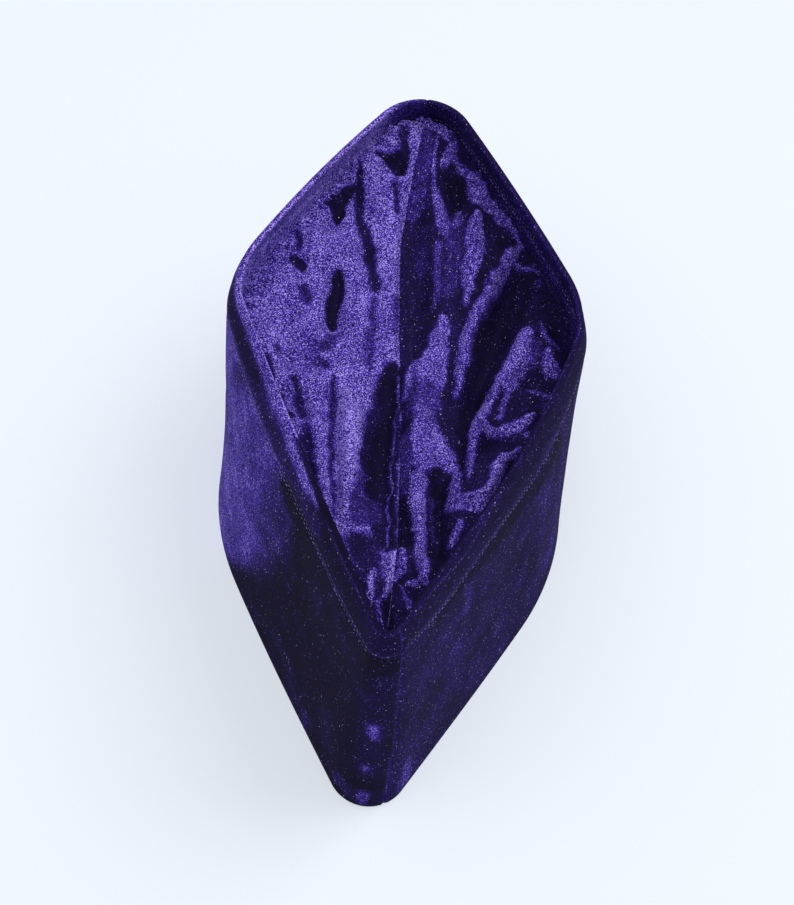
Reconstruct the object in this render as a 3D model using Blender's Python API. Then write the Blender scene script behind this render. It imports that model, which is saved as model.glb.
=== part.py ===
"""A boat-shaped velvet kufi cap, upright on the edge of its head opening.

Two stiffened side walls run from the front tip to the back tip, lean in towards the rim and
meet at a front and a back seam. The left one wraps round the front tip, so that the front seam
stands a little to the right of it. A slack crown of two panels hangs between them, gathered into
their inner faces below the rim, with one straight seam along the middle.
X goes across the cap, the front tip points to -Y, Z goes up, and all sizes are in metres.
"""

import math
from typing import NamedTuple

import bmesh
import bpy
import numpy as np

PART_NAME = "kufi_cap"

# Side walls
WALL_THICKNESS = 0.0024
RIM_HEIGHT = 0.1065  # the rim above the table at the front and back tips
RIM_DIP = 0.0122  # how much lower the rim is where the cap is widest
RIM_ROUNDING = 0.0010
SHOULDER_DROP = 0.0100  # from the rim down to its topstitch, where the wall is fullest
SHOULDER = {"left": 0.0018, "right": 0.0008}  # how far it swells there where the cap is widest
TIP_SHOULDER = 0.0010  # and at the two tips
SHOULDER_POWER = 1.5  # of the curve from the foot up to the shoulder

# The front seam: how far round from the tip it stands, by share of the wall's height
SEAM_LEVELS = (0.0, 0.4, 1.0)
SEAM_SHIFT = (0.0063, 0.0074, 0.0048)

# Crown
CROWN_THICKNESS = 0.0018
FRONT_DROP = 0.0130  # from the rim down to the line where the crown is gathered in
SIDE_DROP = 0.0200
BACK_DROP = 0.0090
CROWN_SAG = 0.0240  # how far the centre seam hangs below its two ends
CROWN_SLOPE = 1.5  # power of the crown's curve from the centre seam up to the wall
SEAM_SAG_POWER = 0.8
PUCKER_DEPTH = 0.0013
PUCKERS = 13  # main gathers along each side
FOLD_FADE = 0.009  # folds die out over this distance to the wall and to the two tips

PIECE_GAP = 0.0003

# Where the crown's centre seam runs: it strays a little from the middle of the cap
SEAM_STRAY_Y = (-0.110, -0.070, -0.020, 0.020, 0.060, 0.095)
SEAM_STRAY_X = (0.0005, 0.0020, 0.0005, -0.0025, -0.0050, -0.0020)
SEAM_SETTLING = 4.0  # how sharply the stray begins at the tips

# Mesh density
SECTIONS = 60  # along a side, closer together at the tips
TIP_CROWDING = 0.50
WALL_LEVELS = (0.0, 0.32, 0.64, 0.82, 0.91, 1.0)  # shares of the wall's height
CROWN_COLUMNS = 16
OUTLINE_POINTS = 400  # along half a loop, before it is cut into sections
WRAPPED_POINTS = 40  # of the other half, that lead up to the front tip
TANGENT_REACH = 0.002  # as a share of the half loop's length
ARC_STEPS = 24
CORNER_PASSES = 8
RIM_SEGMENTS = 2
SMOOTH_UP_TO = math.radians(40)
SAME_PLACE = 1e-6

SIDE_SIGN = {"left": -1.0, "right": 1.0}
OTHER_SIDE = {"left": "right", "right": "left"}


class Outline(NamedTuple):
    """One half of a pointed loop, from its front tip to its back tip."""

    half_width: float
    front_tip: float
    back_tip: float
    widest_y: float
    front_round: float
    side_round: float
    back_round: float
    front_bow: float
    back_bow: float


class Fold(NamedTuple):
    """A straight fold of the crown: a ridge, or with a height below zero a crease."""

    start_x: float
    start_y: float
    end_x: float
    end_y: float
    height: float
    half_width: float


class Dent(NamedTuple):
    """A soft dent in a wall, placed by its share of the length and of the height."""

    along: float
    up: float
    depth: float
    length: float
    height: float


BASE = {
    "left": Outline(0.0655, -0.1260, 0.1260, 0.0275, 0.0133, 0.119, 0.0133, 0.0032, 0.0016),
    "right": Outline(0.0655, -0.1260, 0.1260, 0.0145, 0.0133, 0.119, 0.0133, 0.0018, 0.0016),
}
RIM = {
    "left": Outline(0.0600, -0.1228, 0.1077, 0.0232, 0.0045, 0.032, 0.0185, 0.0019, 0.0015),
    "right": Outline(0.0594, -0.1228, 0.1077, 0.0202, 0.0045, 0.032, 0.0185, 0.0060, 0.0000),
}

FOLDS = (
    # right of the seam: ridges that stand up out of the dark nap
    Fold(0.0030, 0.0970, 0.0100, 0.0360, 0.0025, 0.0048),
    Fold(0.0200, 0.0710, 0.0200, 0.0370, 0.0035, 0.0048),
    Fold(0.0350, 0.0620, 0.0285, 0.0450, 0.0040, 0.0048),
    Fold(0.0285, 0.0450, 0.0205, -0.0010, 0.0040, 0.0048),
    Fold(0.0425, 0.0255, 0.0315, 0.0000, 0.0045, 0.0048),
    Fold(0.0315, 0.0000, 0.0245, -0.0255, 0.0045, 0.0048),
    Fold(0.0245, -0.0255, 0.0240, -0.0415, 0.0040, 0.0048),
    Fold(0.0270, -0.0210, 0.0455, -0.0160, 0.0040, 0.0048),
    Fold(0.0400, -0.0320, 0.0325, -0.0385, 0.0045, 0.0048),
    Fold(0.0325, -0.0385, 0.0290, -0.0540, 0.0045, 0.0048),
    Fold(0.0290, -0.0540, 0.0185, -0.0515, 0.0040, 0.0048),
    Fold(0.0490, 0.0230, 0.0535, 0.0075, 0.0030, 0.0048),
    Fold(0.0085, 0.0160, 0.0045, -0.0175, 0.0035, 0.0050),
    Fold(0.0045, -0.0175, 0.0105, -0.0885, 0.0035, 0.0045),
    Fold(0.0200, -0.0620, 0.0185, -0.0730, 0.0030, 0.0048),
    # right of the seam: hollows
    Fold(-0.0010, 0.0720, 0.0030, 0.0130, -0.0035, 0.0045),
    Fold(0.0135, 0.0840, 0.0145, 0.0735, -0.0035, 0.0042),
    Fold(0.0340, 0.0440, 0.0280, -0.0070, -0.0060, 0.0060),
    Fold(0.0250, -0.0050, 0.0190, -0.0380, -0.0040, 0.0040),
    Fold(0.0145, -0.0460, 0.0140, -0.0770, -0.0045, 0.0038),
    Fold(0.0425, 0.0035, 0.0500, 0.0050, -0.0030, 0.0040),
    Fold(0.0385, -0.0105, 0.0460, -0.0105, -0.0035, 0.0040),
    Fold(0.0350, -0.0300, 0.0270, -0.0355, -0.0040, 0.0045),
    # left of the seam: creases and slots
    Fold(-0.0230, 0.0825, -0.0165, 0.0540, -0.0025, 0.0038),
    Fold(-0.0165, 0.0540, -0.0110, 0.0205, -0.0025, 0.0038),
    Fold(-0.0270, 0.0420, -0.0260, 0.0205, -0.0040, 0.0040),
    Fold(-0.0270, 0.0760, -0.0305, 0.0645, -0.0040, 0.0042),
    Fold(-0.0085, 0.0915, -0.0135, 0.0845, -0.0040, 0.0042),
    Fold(-0.0235, -0.0090, -0.0180, -0.0680, -0.0030, 0.0038),
    Fold(-0.0050, -0.0030, -0.0065, -0.0545, -0.0050, 0.0055),
    Fold(-0.0355, -0.0140, -0.0290, -0.0465, -0.0035, 0.0040),
    # left of the seam: broad swells, and two small folds near the front tip
    Fold(-0.0160, -0.0210, -0.0135, -0.0590, 0.0035, 0.0060),
    Fold(-0.0345, 0.0555, -0.0335, 0.0170, 0.0025, 0.0070),
    Fold(-0.0055, -0.0875, -0.0065, -0.1020, 0.0025, 0.0035),
    Fold(0.0025, -0.0765, -0.0005, -0.0965, 0.0030, 0.0035),
)

DENTS = {
    "left": (
        Dent(0.17, 0.50, 0.0014, 0.07, 0.35),
        Dent(0.33, 0.62, -0.0010, 0.06, 0.30),
        Dent(0.72, 0.45, 0.0012, 0.08, 0.35),
    ),
    "right": (
        Dent(0.12, 0.55, 0.0012, 0.05, 0.30),
        Dent(0.27, 0.50, 0.0013, 0.05, 0.40),
        Dent(0.68, 0.55, 0.0012, 0.09, 0.35),
    ),
}

VELVET = {
    "side_band_left": (0.075, 0.045, 0.300, 1.0),
    "side_band_right": (0.020, 0.012, 0.080, 1.0),
    "crown_left": (0.105, 0.065, 0.420, 1.0),
    "crown_right": (0.030, 0.018, 0.120, 1.0),
}
VELVET_ROUGHNESS = 0.75


def clear_scene():
    """Empties the scene, so that the part starts from nothing."""
    for old in list(bpy.data.objects):
        bpy.data.objects.remove(old, do_unlink=True)


def unit(vector):
    """The vector at length one."""
    return vector / np.linalg.norm(vector)


def sharp_corners(outline):
    """The straight-sided loop's front, side and back corners, before they are rounded."""
    x, front, back = outline.half_width, outline.front_tip, outline.back_tip
    for _ in range(CORNER_PASSES):
        front_half = math.atan2(x, outline.widest_y - front)
        back_half = math.atan2(x, back - outline.widest_y)
        side_half = (math.pi - front_half - back_half) / 2
        side_tilt = (back_half - front_half) / 2
        front = outline.front_tip - outline.front_round * (1 / math.sin(front_half) - 1)
        back = outline.back_tip + outline.back_round * (1 / math.sin(back_half) - 1)
        reach = math.cos(side_tilt) / math.sin(side_half) - 1
        x = outline.half_width + outline.side_round * reach
    return np.array([0, front]), np.array([x, outline.widest_y]), np.array([0, back])


def corner_arc(before, corner, after, radius):
    """Points of the arc that rounds a corner, from the side before it to the side after it."""
    to_before = unit(before - corner)
    to_after = unit(after - corner)
    half = math.acos(np.clip(to_before @ to_after, -1, 1)) / 2
    centre = corner + unit(to_before + to_after) * radius / math.sin(half)
    start = corner + to_before * radius / math.tan(half) - centre
    end = corner + to_after * radius / math.tan(half) - centre
    sweep = math.pi - 2 * half
    turn = np.linspace(0, 1, ARC_STEPS)[:, None]
    weights = np.sin((1 - turn) * sweep), np.sin(turn * sweep)
    return centre + (weights[0] * start + weights[1] * end) / math.sin(sweep)


def half_outline(outline):
    """Points along one half of the loop, with its rounded corners and slightly bowed sides."""
    front, side, back = sharp_corners(outline)
    mirror = np.array([-1, 1])
    tip = corner_arc(side * mirror, front, side, outline.front_round)[ARC_STEPS // 2 :]
    shoulder = corner_arc(front, side, back, outline.side_round)
    tail = corner_arc(side, back, side * mirror, outline.back_round)[: ARC_STEPS // 2]
    ends = np.array([[0, outline.front_tip]]), np.array([[0, outline.back_tip]])
    points = np.concatenate([ends[0], tip, shoulder, tail, ends[1]])
    points = densified(points)
    ahead = points[:, 1] < outline.widest_y
    tips = np.where(ahead, outline.front_tip, outline.back_tip)
    share = np.clip((points[:, 1] - outline.widest_y) / (tips - outline.widest_y), 0, 1)
    bow = np.where(ahead, outline.front_bow, outline.back_bow)
    points[:, 0] += bow * np.sin(math.pi * share)
    points[:, 0] *= outline.half_width / points[:, 0].max()
    return points


def densified(points):
    """The same line with evenly spaced points."""
    steps = np.linalg.norm(np.diff(points, axis=0), axis=1)
    length = np.concatenate([[0], np.cumsum(steps)])
    places = np.linspace(0, length[-1], OUTLINE_POINTS)
    return np.column_stack([np.interp(places, length, points[:, k]) for k in (0, 1)])


def section_places():
    """Shares of the length at which a side is cut into sections, crowded at the tips."""
    even = np.linspace(0, 1, SECTIONS + 1)
    return even - TIP_CROWDING * np.sin(2 * math.pi * even) / (2 * math.pi)


def wrapped_outline(outlines, side):
    """One side's half loop with the start of the other half before it.

    Also gives each point's distance from the front tip, below zero on the other half.
    """
    own = half_outline(outlines[side])
    other = half_outline(outlines[OTHER_SIDE[side]])[WRAPPED_POINTS:0:-1] * (-1, 1)
    points = np.concatenate([other, own])
    steps = np.linalg.norm(np.diff(points, axis=0), axis=1)
    distance = np.concatenate([[0], np.cumsum(steps)])
    return points, distance - distance[len(other)]


def along_outline(outlines, side, places):
    """Points of a side's half loop at these shares of its length, below zero beyond the front tip."""
    points, distance = wrapped_outline(outlines, side)
    share = distance / distance[-1]
    return np.column_stack([np.interp(places, share, points[:, k]) for k in (0, 1)])


def rim_height(side, places):
    """Height of the rim, lower where the cap is wide."""
    across = along_outline(RIM, side, places)[:, 0] / RIM[side].half_width
    return RIM_HEIGHT - RIM_DIP * across**2


def crown_drop(side, places):
    """How far below the rim the crown is gathered in."""
    widest = np.interp(RIM[side].widest_y, along_outline(RIM, side, places)[:, 1], places)
    ahead = places < widest
    share = np.where(ahead, places / widest, (1 - places) / (1 - widest))
    tip = np.where(ahead, FRONT_DROP, BACK_DROP)
    return tip + (SIDE_DROP - tip) * np.sin(math.pi / 2 * share)


def swell(side, places, up):
    """How far the wall stands out of the straight line from its foot to its rim."""
    peak = 1 - SHOULDER_DROP / rim_height(side, places)
    rise = np.where(up < peak, up / peak, (1 - up) / (1 - peak))
    fullness = SHOULDER[side] * np.sin(math.pi * places) ** 2 + TIP_SHOULDER
    return fullness * np.sin(math.pi / 2 * rise) ** SHOULDER_POWER


def seam_x(y):
    """Where the crown's centre seam lies across the cap."""
    return np.interp(y, SEAM_STRAY_Y, SEAM_STRAY_X)


def dent_depth(side, places, up):
    """How far the wall is pushed in at each section, at one share of its height."""
    depth = np.zeros(len(places))
    for dent in DENTS[side]:
        reach = ((places - dent.along) / dent.length) ** 2 + ((up - dent.up) / dent.height) ** 2
        depth += dent.depth * np.exp(-reach)
    return depth


def band_places(side, up):
    """Shares of the length at which a wall is cut at one level, from the front seam to the back one."""
    lengths = [wrapped_outline(outlines, side)[1][-1] for outlines in (BASE, RIM)]
    shift = np.interp(up, SEAM_LEVELS, SEAM_SHIFT) / (lengths[0] * (1 - up) + lengths[1] * up)
    start = SIDE_SIGN[side] * shift
    return start + (1 - start) * section_places()


def level_line(side, places, up):
    """Points at a share of the wall's height, on the straight lines from the foot to the rim."""
    base = along_outline(BASE, side, places)
    rim = along_outline(RIM, side, places)
    return base * (1 - up)[:, None] + rim * up[:, None]


def wall_row(side, places, up, depth):
    """One row of the wall, at shares of its length and height and a depth behind its outer face.

    `up` is one number or one number for each place. The two ends stand half a gap off their seams.
    """
    up = np.broadcast_to(np.asarray(up, float), places.shape)
    level = level_line(side, places, up)
    ahead = level_line(side, places + TANGENT_REACH, up)
    run = ahead - level_line(side, places - TANGENT_REACH, up)
    run /= np.linalg.norm(run, axis=1)[:, None]
    run[-1] = (-1, 0)
    inward = np.column_stack([-run[:, 1], run[:, 0]])
    soft = dent_depth(side, places, up) * np.sin(math.pi * places) * np.sin(math.pi * up)
    level = level + inward * (depth - swell(side, places, up) + soft)[:, None]
    level[0] += run[0] * PIECE_GAP / 2
    x = np.where(places > 0.5, np.maximum(level[:, 0], PIECE_GAP / 2), level[:, 0])
    return np.column_stack([x * SIDE_SIGN[side], level[:, 1], up * rim_height(side, places)])


def grid_mesh(rows):
    """A bmesh grid whose vertices lie on the rows of points."""
    row_count, column_count = len(rows), len(rows[0])
    shape = bmesh.new()
    bmesh.ops.create_grid(shape, x_segments=column_count - 1, y_segments=row_count - 1, size=1)
    shape.verts.ensure_lookup_table()
    for index, vertex in enumerate(shape.verts):
        vertex.co = rows[index // column_count][index % column_count]
    return shape


def thickened(shape, back_rows):
    """Closes an open grid into a solid whose second face lies on the back rows."""
    faces = list(shape.faces)
    front = list(shape.verts)
    back = [point for row in back_rows for point in row]
    order = {vertex: index for index, vertex in enumerate(front)}
    made = bmesh.ops.extrude_face_region(shape, geom=faces, use_keep_orig=True)
    moved = [item for item in made["geom"] if isinstance(item, bmesh.types.BMVert)]
    places = {tuple(vertex.co): order[vertex] for vertex in front}
    for vertex in moved:
        vertex.co = back[places[tuple(vertex.co)]]
    bmesh.ops.recalc_face_normals(shape, faces=shape.faces)
    return shape


def velvet(name):
    """The velvet of one piece, in the tone that its nap shows."""
    material = bpy.data.materials.new(name + "_velvet")
    material.use_nodes = True
    shader = material.node_tree.nodes["Principled BSDF"]
    shader.inputs["Base Color"].default_value = VELVET[name]
    shader.inputs["Roughness"].default_value = VELVET_ROUGHNESS
    shader.inputs["Metallic"].default_value = 0.0
    return material


def add_piece(shape, name, collection):
    """Turns a bmesh into a named, smooth-shaded object with its velvet."""
    mesh = bpy.data.meshes.new(name)
    shape.to_mesh(mesh)
    shape.free()
    mesh.shade_smooth()
    mesh.set_sharp_from_angle(angle=SMOOTH_UP_TO)
    mesh.materials.append(velvet(name))
    piece = bpy.data.objects.new(name, mesh)
    collection.objects.link(piece)
    return piece


def side_band(side, collection):
    """One side wall: an outer and an inner face, joined by a flat foot and a rounded rim."""
    outer, inner = (
        [wall_row(side, band_places(side, up), up, depth) for up in WALL_LEVELS]
        for depth in (0, WALL_THICKNESS)
    )
    shape = thickened(grid_mesh(outer), inner)
    round_rim(shape, [tuple(point) for point in outer[-1]], [tuple(point) for point in inner[-1]])
    return add_piece(shape, "side_band_" + side, collection)


def round_rim(shape, *lines):
    """Rounds the long edges of the rim."""
    rim_points = [point for line in lines for point in line]
    found = {v for v in shape.verts if min(math.dist(v.co, p) for p in rim_points) < SAME_PLACE}
    lengthwise = [
        edge
        for edge in shape.edges
        if set(edge.verts) <= found and edge.calc_length() > 0 and is_lengthwise(edge, lines)
    ]
    bmesh.ops.bevel(
        shape,
        geom=lengthwise,
        offset=RIM_ROUNDING,
        offset_type="OFFSET",
        segments=RIM_SEGMENTS,
        profile=0.5,
        affect="EDGES",
        material=-1,
    )


def is_lengthwise(edge, lines):
    """Whether both ends of a rim edge lie on the same face of the wall."""
    ends = [vertex.co for vertex in edge.verts]
    return any(all(min(math.dist(end, p) for p in line) < SAME_PLACE for end in ends) for line in lines)


def fold_height(x, y):
    """Height that the folds add to the crown at a place."""
    height = np.zeros_like(x)
    for fold in FOLDS:
        start = np.array([fold.start_x, fold.start_y])
        run = np.array([fold.end_x, fold.end_y]) - start
        share = np.clip(((x - start[0]) * run[0] + (y - start[1]) * run[1]) / (run @ run), 0, 1)
        away = np.hypot(x - start[0] - share * run[0], y - start[1] - share * run[1])
        height += fold.height * np.exp(-((away / fold.half_width) ** 2))
    return height


def crown_rows(side):
    """The crown panel's upper face, in rows from the centre seam out to the wall."""
    places = section_places()
    pucker = PUCKER_DEPTH * np.sin(2 * math.pi * PUCKERS * places)
    join_height = rim_height(side, places) - crown_drop(side, places)
    join_up = (join_height + pucker) / rim_height(side, places)
    join = wall_row(side, places, join_up, WALL_THICKNESS + PIECE_GAP)[1:-1]
    ends = join[0, 1], join[-1, 1]
    middle, reach = (ends[0] + ends[1]) / 2, (ends[1] - ends[0]) / 2
    centred = np.clip(1 - ((join[:, 1] - middle) / reach) ** 2, 0, 1)
    ends_height = np.interp(join[:, 1], ends, (RIM_HEIGHT - FRONT_DROP, RIM_HEIGHT - BACK_DROP))
    seam_height = ends_height - CROWN_SAG * centred**SEAM_SAG_POWER
    stray = seam_x(join[:, 1]) * np.clip(centred * SEAM_SETTLING, 0, 1)
    seam = stray + PIECE_GAP / 2 * SIDE_SIGN[side]
    rows = []
    for share in np.linspace(0, 1, CROWN_COLUMNS + 1):
        x = seam * (1 - share) + join[:, 0] * share
        height = seam_height + (join[:, 2] - seam_height) * share**CROWN_SLOPE
        from_tips = np.minimum(join[:, 1] - ends[0], ends[1] - join[:, 1])
        from_wall = np.abs(join[:, 0] - x)
        fade = np.clip(from_tips / FOLD_FADE, 0, 1) * np.clip(from_wall / FOLD_FADE, 0, 1)
        height = height + fold_height(x, join[:, 1]) * fade
        rows.append(np.column_stack([x, join[:, 1], height]))
    return rows


def crown_panel(side, collection):
    """One slack panel of the crown, with its folds."""
    upper = crown_rows(side)
    lower = [row - np.array([0, 0, CROWN_THICKNESS]) for row in upper]
    return add_piece(thickened(grid_mesh(upper), lower), "crown_" + side, collection)


def main():
    """Builds the cap's four pieces."""
    clear_scene()
    collection = bpy.data.collections.new(PART_NAME)
    bpy.context.scene.collection.children.link(collection)
    for side in SIDE_SIGN:
        side_band(side, collection)
        crown_panel(side, collection)


main()
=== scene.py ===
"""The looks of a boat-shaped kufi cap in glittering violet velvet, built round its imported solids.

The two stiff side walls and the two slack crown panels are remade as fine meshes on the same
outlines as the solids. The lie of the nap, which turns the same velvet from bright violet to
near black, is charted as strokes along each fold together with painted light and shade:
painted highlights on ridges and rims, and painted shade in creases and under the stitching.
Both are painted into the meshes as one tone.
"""

from __future__ import annotations

import itertools
import logging
import math
from collections.abc import Iterator, Sequence
from contextlib import contextmanager
from dataclasses import dataclass, field
from enum import Enum
from functools import cache

import bmesh
import bpy
import numpy as np
from mathutils import Matrix, Vector

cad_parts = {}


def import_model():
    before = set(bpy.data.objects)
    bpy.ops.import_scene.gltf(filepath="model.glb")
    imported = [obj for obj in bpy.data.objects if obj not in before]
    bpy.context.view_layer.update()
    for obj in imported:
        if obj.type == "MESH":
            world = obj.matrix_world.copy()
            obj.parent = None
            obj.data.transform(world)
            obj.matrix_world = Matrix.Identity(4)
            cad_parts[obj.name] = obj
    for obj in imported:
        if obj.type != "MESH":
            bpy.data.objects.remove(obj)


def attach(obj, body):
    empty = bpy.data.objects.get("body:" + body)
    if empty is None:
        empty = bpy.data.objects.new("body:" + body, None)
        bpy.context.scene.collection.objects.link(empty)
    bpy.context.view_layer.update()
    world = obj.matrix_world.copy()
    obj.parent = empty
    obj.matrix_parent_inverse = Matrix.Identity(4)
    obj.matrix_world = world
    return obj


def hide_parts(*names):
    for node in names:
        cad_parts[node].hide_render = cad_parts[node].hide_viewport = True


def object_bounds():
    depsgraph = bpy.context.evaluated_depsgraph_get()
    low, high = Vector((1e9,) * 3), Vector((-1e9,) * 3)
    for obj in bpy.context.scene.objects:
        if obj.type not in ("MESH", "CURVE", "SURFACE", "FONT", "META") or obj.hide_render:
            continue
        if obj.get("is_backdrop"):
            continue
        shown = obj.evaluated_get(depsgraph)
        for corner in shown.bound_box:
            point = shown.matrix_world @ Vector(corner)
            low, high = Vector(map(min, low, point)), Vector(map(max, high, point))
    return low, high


LOG = logging.getLogger("kufi_cap")
MM = 0.001
NAP_AND_LIGHT = "nap_and_light"
NOISE_SEED = np.array([127.1, 311.7, 74.7])
NOISE_SPREAD = 43758.5453
SHARP_ANGLE = math.radians(60)
RISE_SPREAD, RISE_MARGIN = 1.25, 0.9  # a stroke's rise is wider than its tone, by share and by mm
NO_LENGTH = 1e-9


class Side(Enum):
    """Which half of the cap a piece belongs to, as seen from the front tip."""

    LEFT = "left"
    RIGHT = "right"

    @property
    def sign(self) -> float:
        """Minus one on the left and plus one on the right."""
        return -1.0 if self is Side.LEFT else 1.0

    @property
    def other(self) -> Side:
        """The opposite side."""
        return Side.RIGHT if self is Side.LEFT else Side.LEFT


class Face(Enum):
    """The face of a wall that a row of stitches lies on."""

    OUTER = "outer"
    INNER = "inner"


def smooth(value: np.ndarray) -> np.ndarray:
    """A soft step from 0 to 1 as the value goes from 0 to 1."""
    held = np.clip(value, 0, 1)
    return held * held * (3 - 2 * held)


def rough(points: np.ndarray, wavelength: float, shift: float) -> np.ndarray:
    """Smooth noise at each point.

    Args:
        points: Points, one to a row, in metres.
        wavelength: Size of the noise's lumps, in metres.
        shift: Moves the noise, so that two layers differ.

    Returns:
        One value to a point, between -0.5 and 0.5.
    """
    place = points / wavelength + shift
    cell = np.floor(place)
    part = smooth(place - cell)
    total = np.zeros(len(points))
    for corner in itertools.product((0, 1), repeat=3):
        chance = np.sin((cell + corner) @ NOISE_SEED) * NOISE_SPREAD
        weight = np.prod(np.where(corner, part, 1 - part), axis=1)
        total += (chance - np.floor(chance) - 0.5) * weight
    return total


@dataclass(frozen=True)
class Noise:
    """One layer of smooth noise: its strength, the size of its lumps in metres, and its shift."""

    strength: float
    wavelength: float
    shift: float

    def at(self, points: np.ndarray) -> np.ndarray:
        """The layer's value at each point."""
        return self.strength * rough(points, self.wavelength, self.shift)


def layered(layers: Sequence[Noise], points: np.ndarray) -> np.ndarray:
    """The sum of some layers of noise at each point."""
    return sum(layer.at(points) for layer in layers)


def run_along(points: np.ndarray) -> np.ndarray:
    """How far along a line each of its points lies."""
    return np.concatenate([[0], np.cumsum(np.linalg.norm(np.diff(points, axis=0), axis=1))])


def points_at(points: np.ndarray, marks: np.ndarray, places: np.ndarray) -> np.ndarray:
    """Finds points of a line.

    Args:
        points: The line.
        marks: The mark of each of its points, in rising order.
        places: The marks of the points to find.

    Returns:
        One point to a place.
    """
    return np.column_stack([np.interp(places, marks, column) for column in points.T])


def even_line(points: np.ndarray, count: int = 800) -> np.ndarray:
    """The same line with evenly spaced points."""
    run = run_along(points)
    return points_at(points, run, np.linspace(0, run[-1], count))


def crowded(count: int, crowding: float) -> np.ndarray:
    """Shares from 0 to 1 that lie closer together at both ends."""
    even = np.linspace(0, 1, count)
    return even - crowding * np.sin(2 * math.pi * even) / (2 * math.pi)


@contextmanager
def reshaped(mesh: bpy.types.Mesh) -> Iterator[bmesh.types.BMesh]:
    """Opens a mesh for bmesh operators, and writes it back after them.

    Args:
        mesh: The mesh, which may be empty.

    Yields:
        The mesh as a bmesh.
    """
    shape = bmesh.new()
    shape.from_mesh(mesh)
    yield shape
    shape.to_mesh(mesh)
    shape.free()


def rims(shape: bmesh.types.BMesh) -> list[bmesh.types.BMEdge]:
    """The open edges of a mesh."""
    return [edge for edge in shape.edges if edge.is_boundary]


@dataclass(frozen=True)
class HalfLoop:
    """One half of a pointed loop round the cap, from its front tip to its back tip, in metres."""

    half_width: float
    front_tip: float
    back_tip: float
    widest_y: float
    front_round: float
    side_round: float
    back_round: float
    front_bow: float
    back_bow: float
    arc_steps: int = 48
    passes: int = 8
    wrapped_points: int = 80

    def corners(self) -> tuple[np.ndarray, np.ndarray, np.ndarray]:
        """Finds the sharp corners whose rounding touches the loop's stated reach.

        Returns:
            The front, side and back corners of the straight-sided loop.
        """
        x, front, back = self.half_width, self.front_tip, self.back_tip
        for _ in range(self.passes):
            front_half = math.atan2(x, self.widest_y - front)
            back_half = math.atan2(x, back - self.widest_y)
            side_half = (math.pi - front_half - back_half) / 2
            side_tilt = (back_half - front_half) / 2
            front = self.front_tip - self.front_round * (1 / math.sin(front_half) - 1)
            back = self.back_tip + self.back_round * (1 / math.sin(back_half) - 1)
            reach = math.cos(side_tilt) / math.sin(side_half) - 1
            x = self.half_width + self.side_round * reach
        return np.array([0, front]), np.array([x, self.widest_y]), np.array([0, back])

    def arc(
        self, before: np.ndarray, corner: np.ndarray, after: np.ndarray, radius: float
    ) -> np.ndarray:
        """Points that round a corner.

        Args:
            before: A point on the side that leads to the corner.
            corner: The sharp corner.
            after: A point on the side that leaves it.
            radius: Radius of the rounding.

        Returns:
            The arc's points, from the first side to the second.
        """
        to_before = (before - corner) / np.linalg.norm(before - corner)
        to_after = (after - corner) / np.linalg.norm(after - corner)
        half = math.acos(float(np.clip(to_before @ to_after, -1, 1))) / 2
        middle = (to_before + to_after) / np.linalg.norm(to_before + to_after)
        centre = corner + middle * radius / math.sin(half)
        start = corner + to_before * radius / math.tan(half) - centre
        end = corner + to_after * radius / math.tan(half) - centre
        sweep = math.pi - 2 * half
        turn = np.linspace(0, 1, self.arc_steps)[:, None]
        spoke = np.sin((1 - turn) * sweep) * start + np.sin(turn * sweep) * end
        return centre + spoke / math.sin(sweep)

    @cache
    def line(self) -> np.ndarray:
        """Draws the half loop with its rounded corners and slightly bowed sides.

        Returns:
            Its points, evenly spaced.
        """
        front, side, back = self.corners()
        mirror = np.array([-1, 1])
        tip = self.arc(side * mirror, front, side, self.front_round)[self.arc_steps // 2 :]
        shoulder = self.arc(front, side, back, self.side_round)
        tail = self.arc(side, back, side * mirror, self.back_round)[: self.arc_steps // 2]
        ends = [[0, self.front_tip]], [[0, self.back_tip]]
        points = even_line(np.concatenate([ends[0], tip, shoulder, tail, ends[1]]))
        ahead = points[:, 1] < self.widest_y
        tips = np.where(ahead, self.front_tip, self.back_tip)
        share = np.clip((points[:, 1] - self.widest_y) / (tips - self.widest_y), 0, 1)
        points[:, 0] += np.where(ahead, self.front_bow, self.back_bow) * np.sin(math.pi * share)
        points[:, 0] *= self.half_width / points[:, 0].max()
        return points

    @cache
    def wrapped(self, other: HalfLoop) -> tuple[np.ndarray, np.ndarray]:
        """The half loop with the start of the other half before it.

        Args:
            other: The half loop of the other side.

        Returns:
            The line's points, and their distances from the front tip, below zero on the other half.
        """
        before = other.line()[self.wrapped_points : 0 : -1] * (-1, 1)
        points = np.concatenate([before, self.line()])
        run = run_along(points)
        return points, run - run[len(before)]

    def at(self, other: HalfLoop, places: np.ndarray) -> np.ndarray:
        """Points at shares of the half loop's length, below zero beyond the front tip."""
        points, run = self.wrapped(other)
        return points_at(points, run / run[-1], places)


@dataclass(frozen=True)
class Fold:
    """A straight fold of the crown in millimetres: a ridge, or below zero a crease."""

    start: tuple[float, float]
    end: tuple[float, float]
    height: float
    half_width: float

    def lift(self, x: np.ndarray, y: np.ndarray) -> np.ndarray:
        """How far the fold lifts the cloth.

        Args:
            x: Place across the cap, in metres.
            y: Place along the cap, in metres.

        Returns:
            The lift at each place, in metres.
        """
        start = np.array(self.start) * MM
        run = np.array(self.end) * MM - start
        share = np.clip(((x - start[0]) * run[0] + (y - start[1]) * run[1]) / (run @ run), 0, 1)
        away = np.hypot(x - start[0] - share * run[0], y - start[1] - share * run[1])
        return self.height * MM * np.exp(-((away / (self.half_width * MM)) ** 2))


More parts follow.
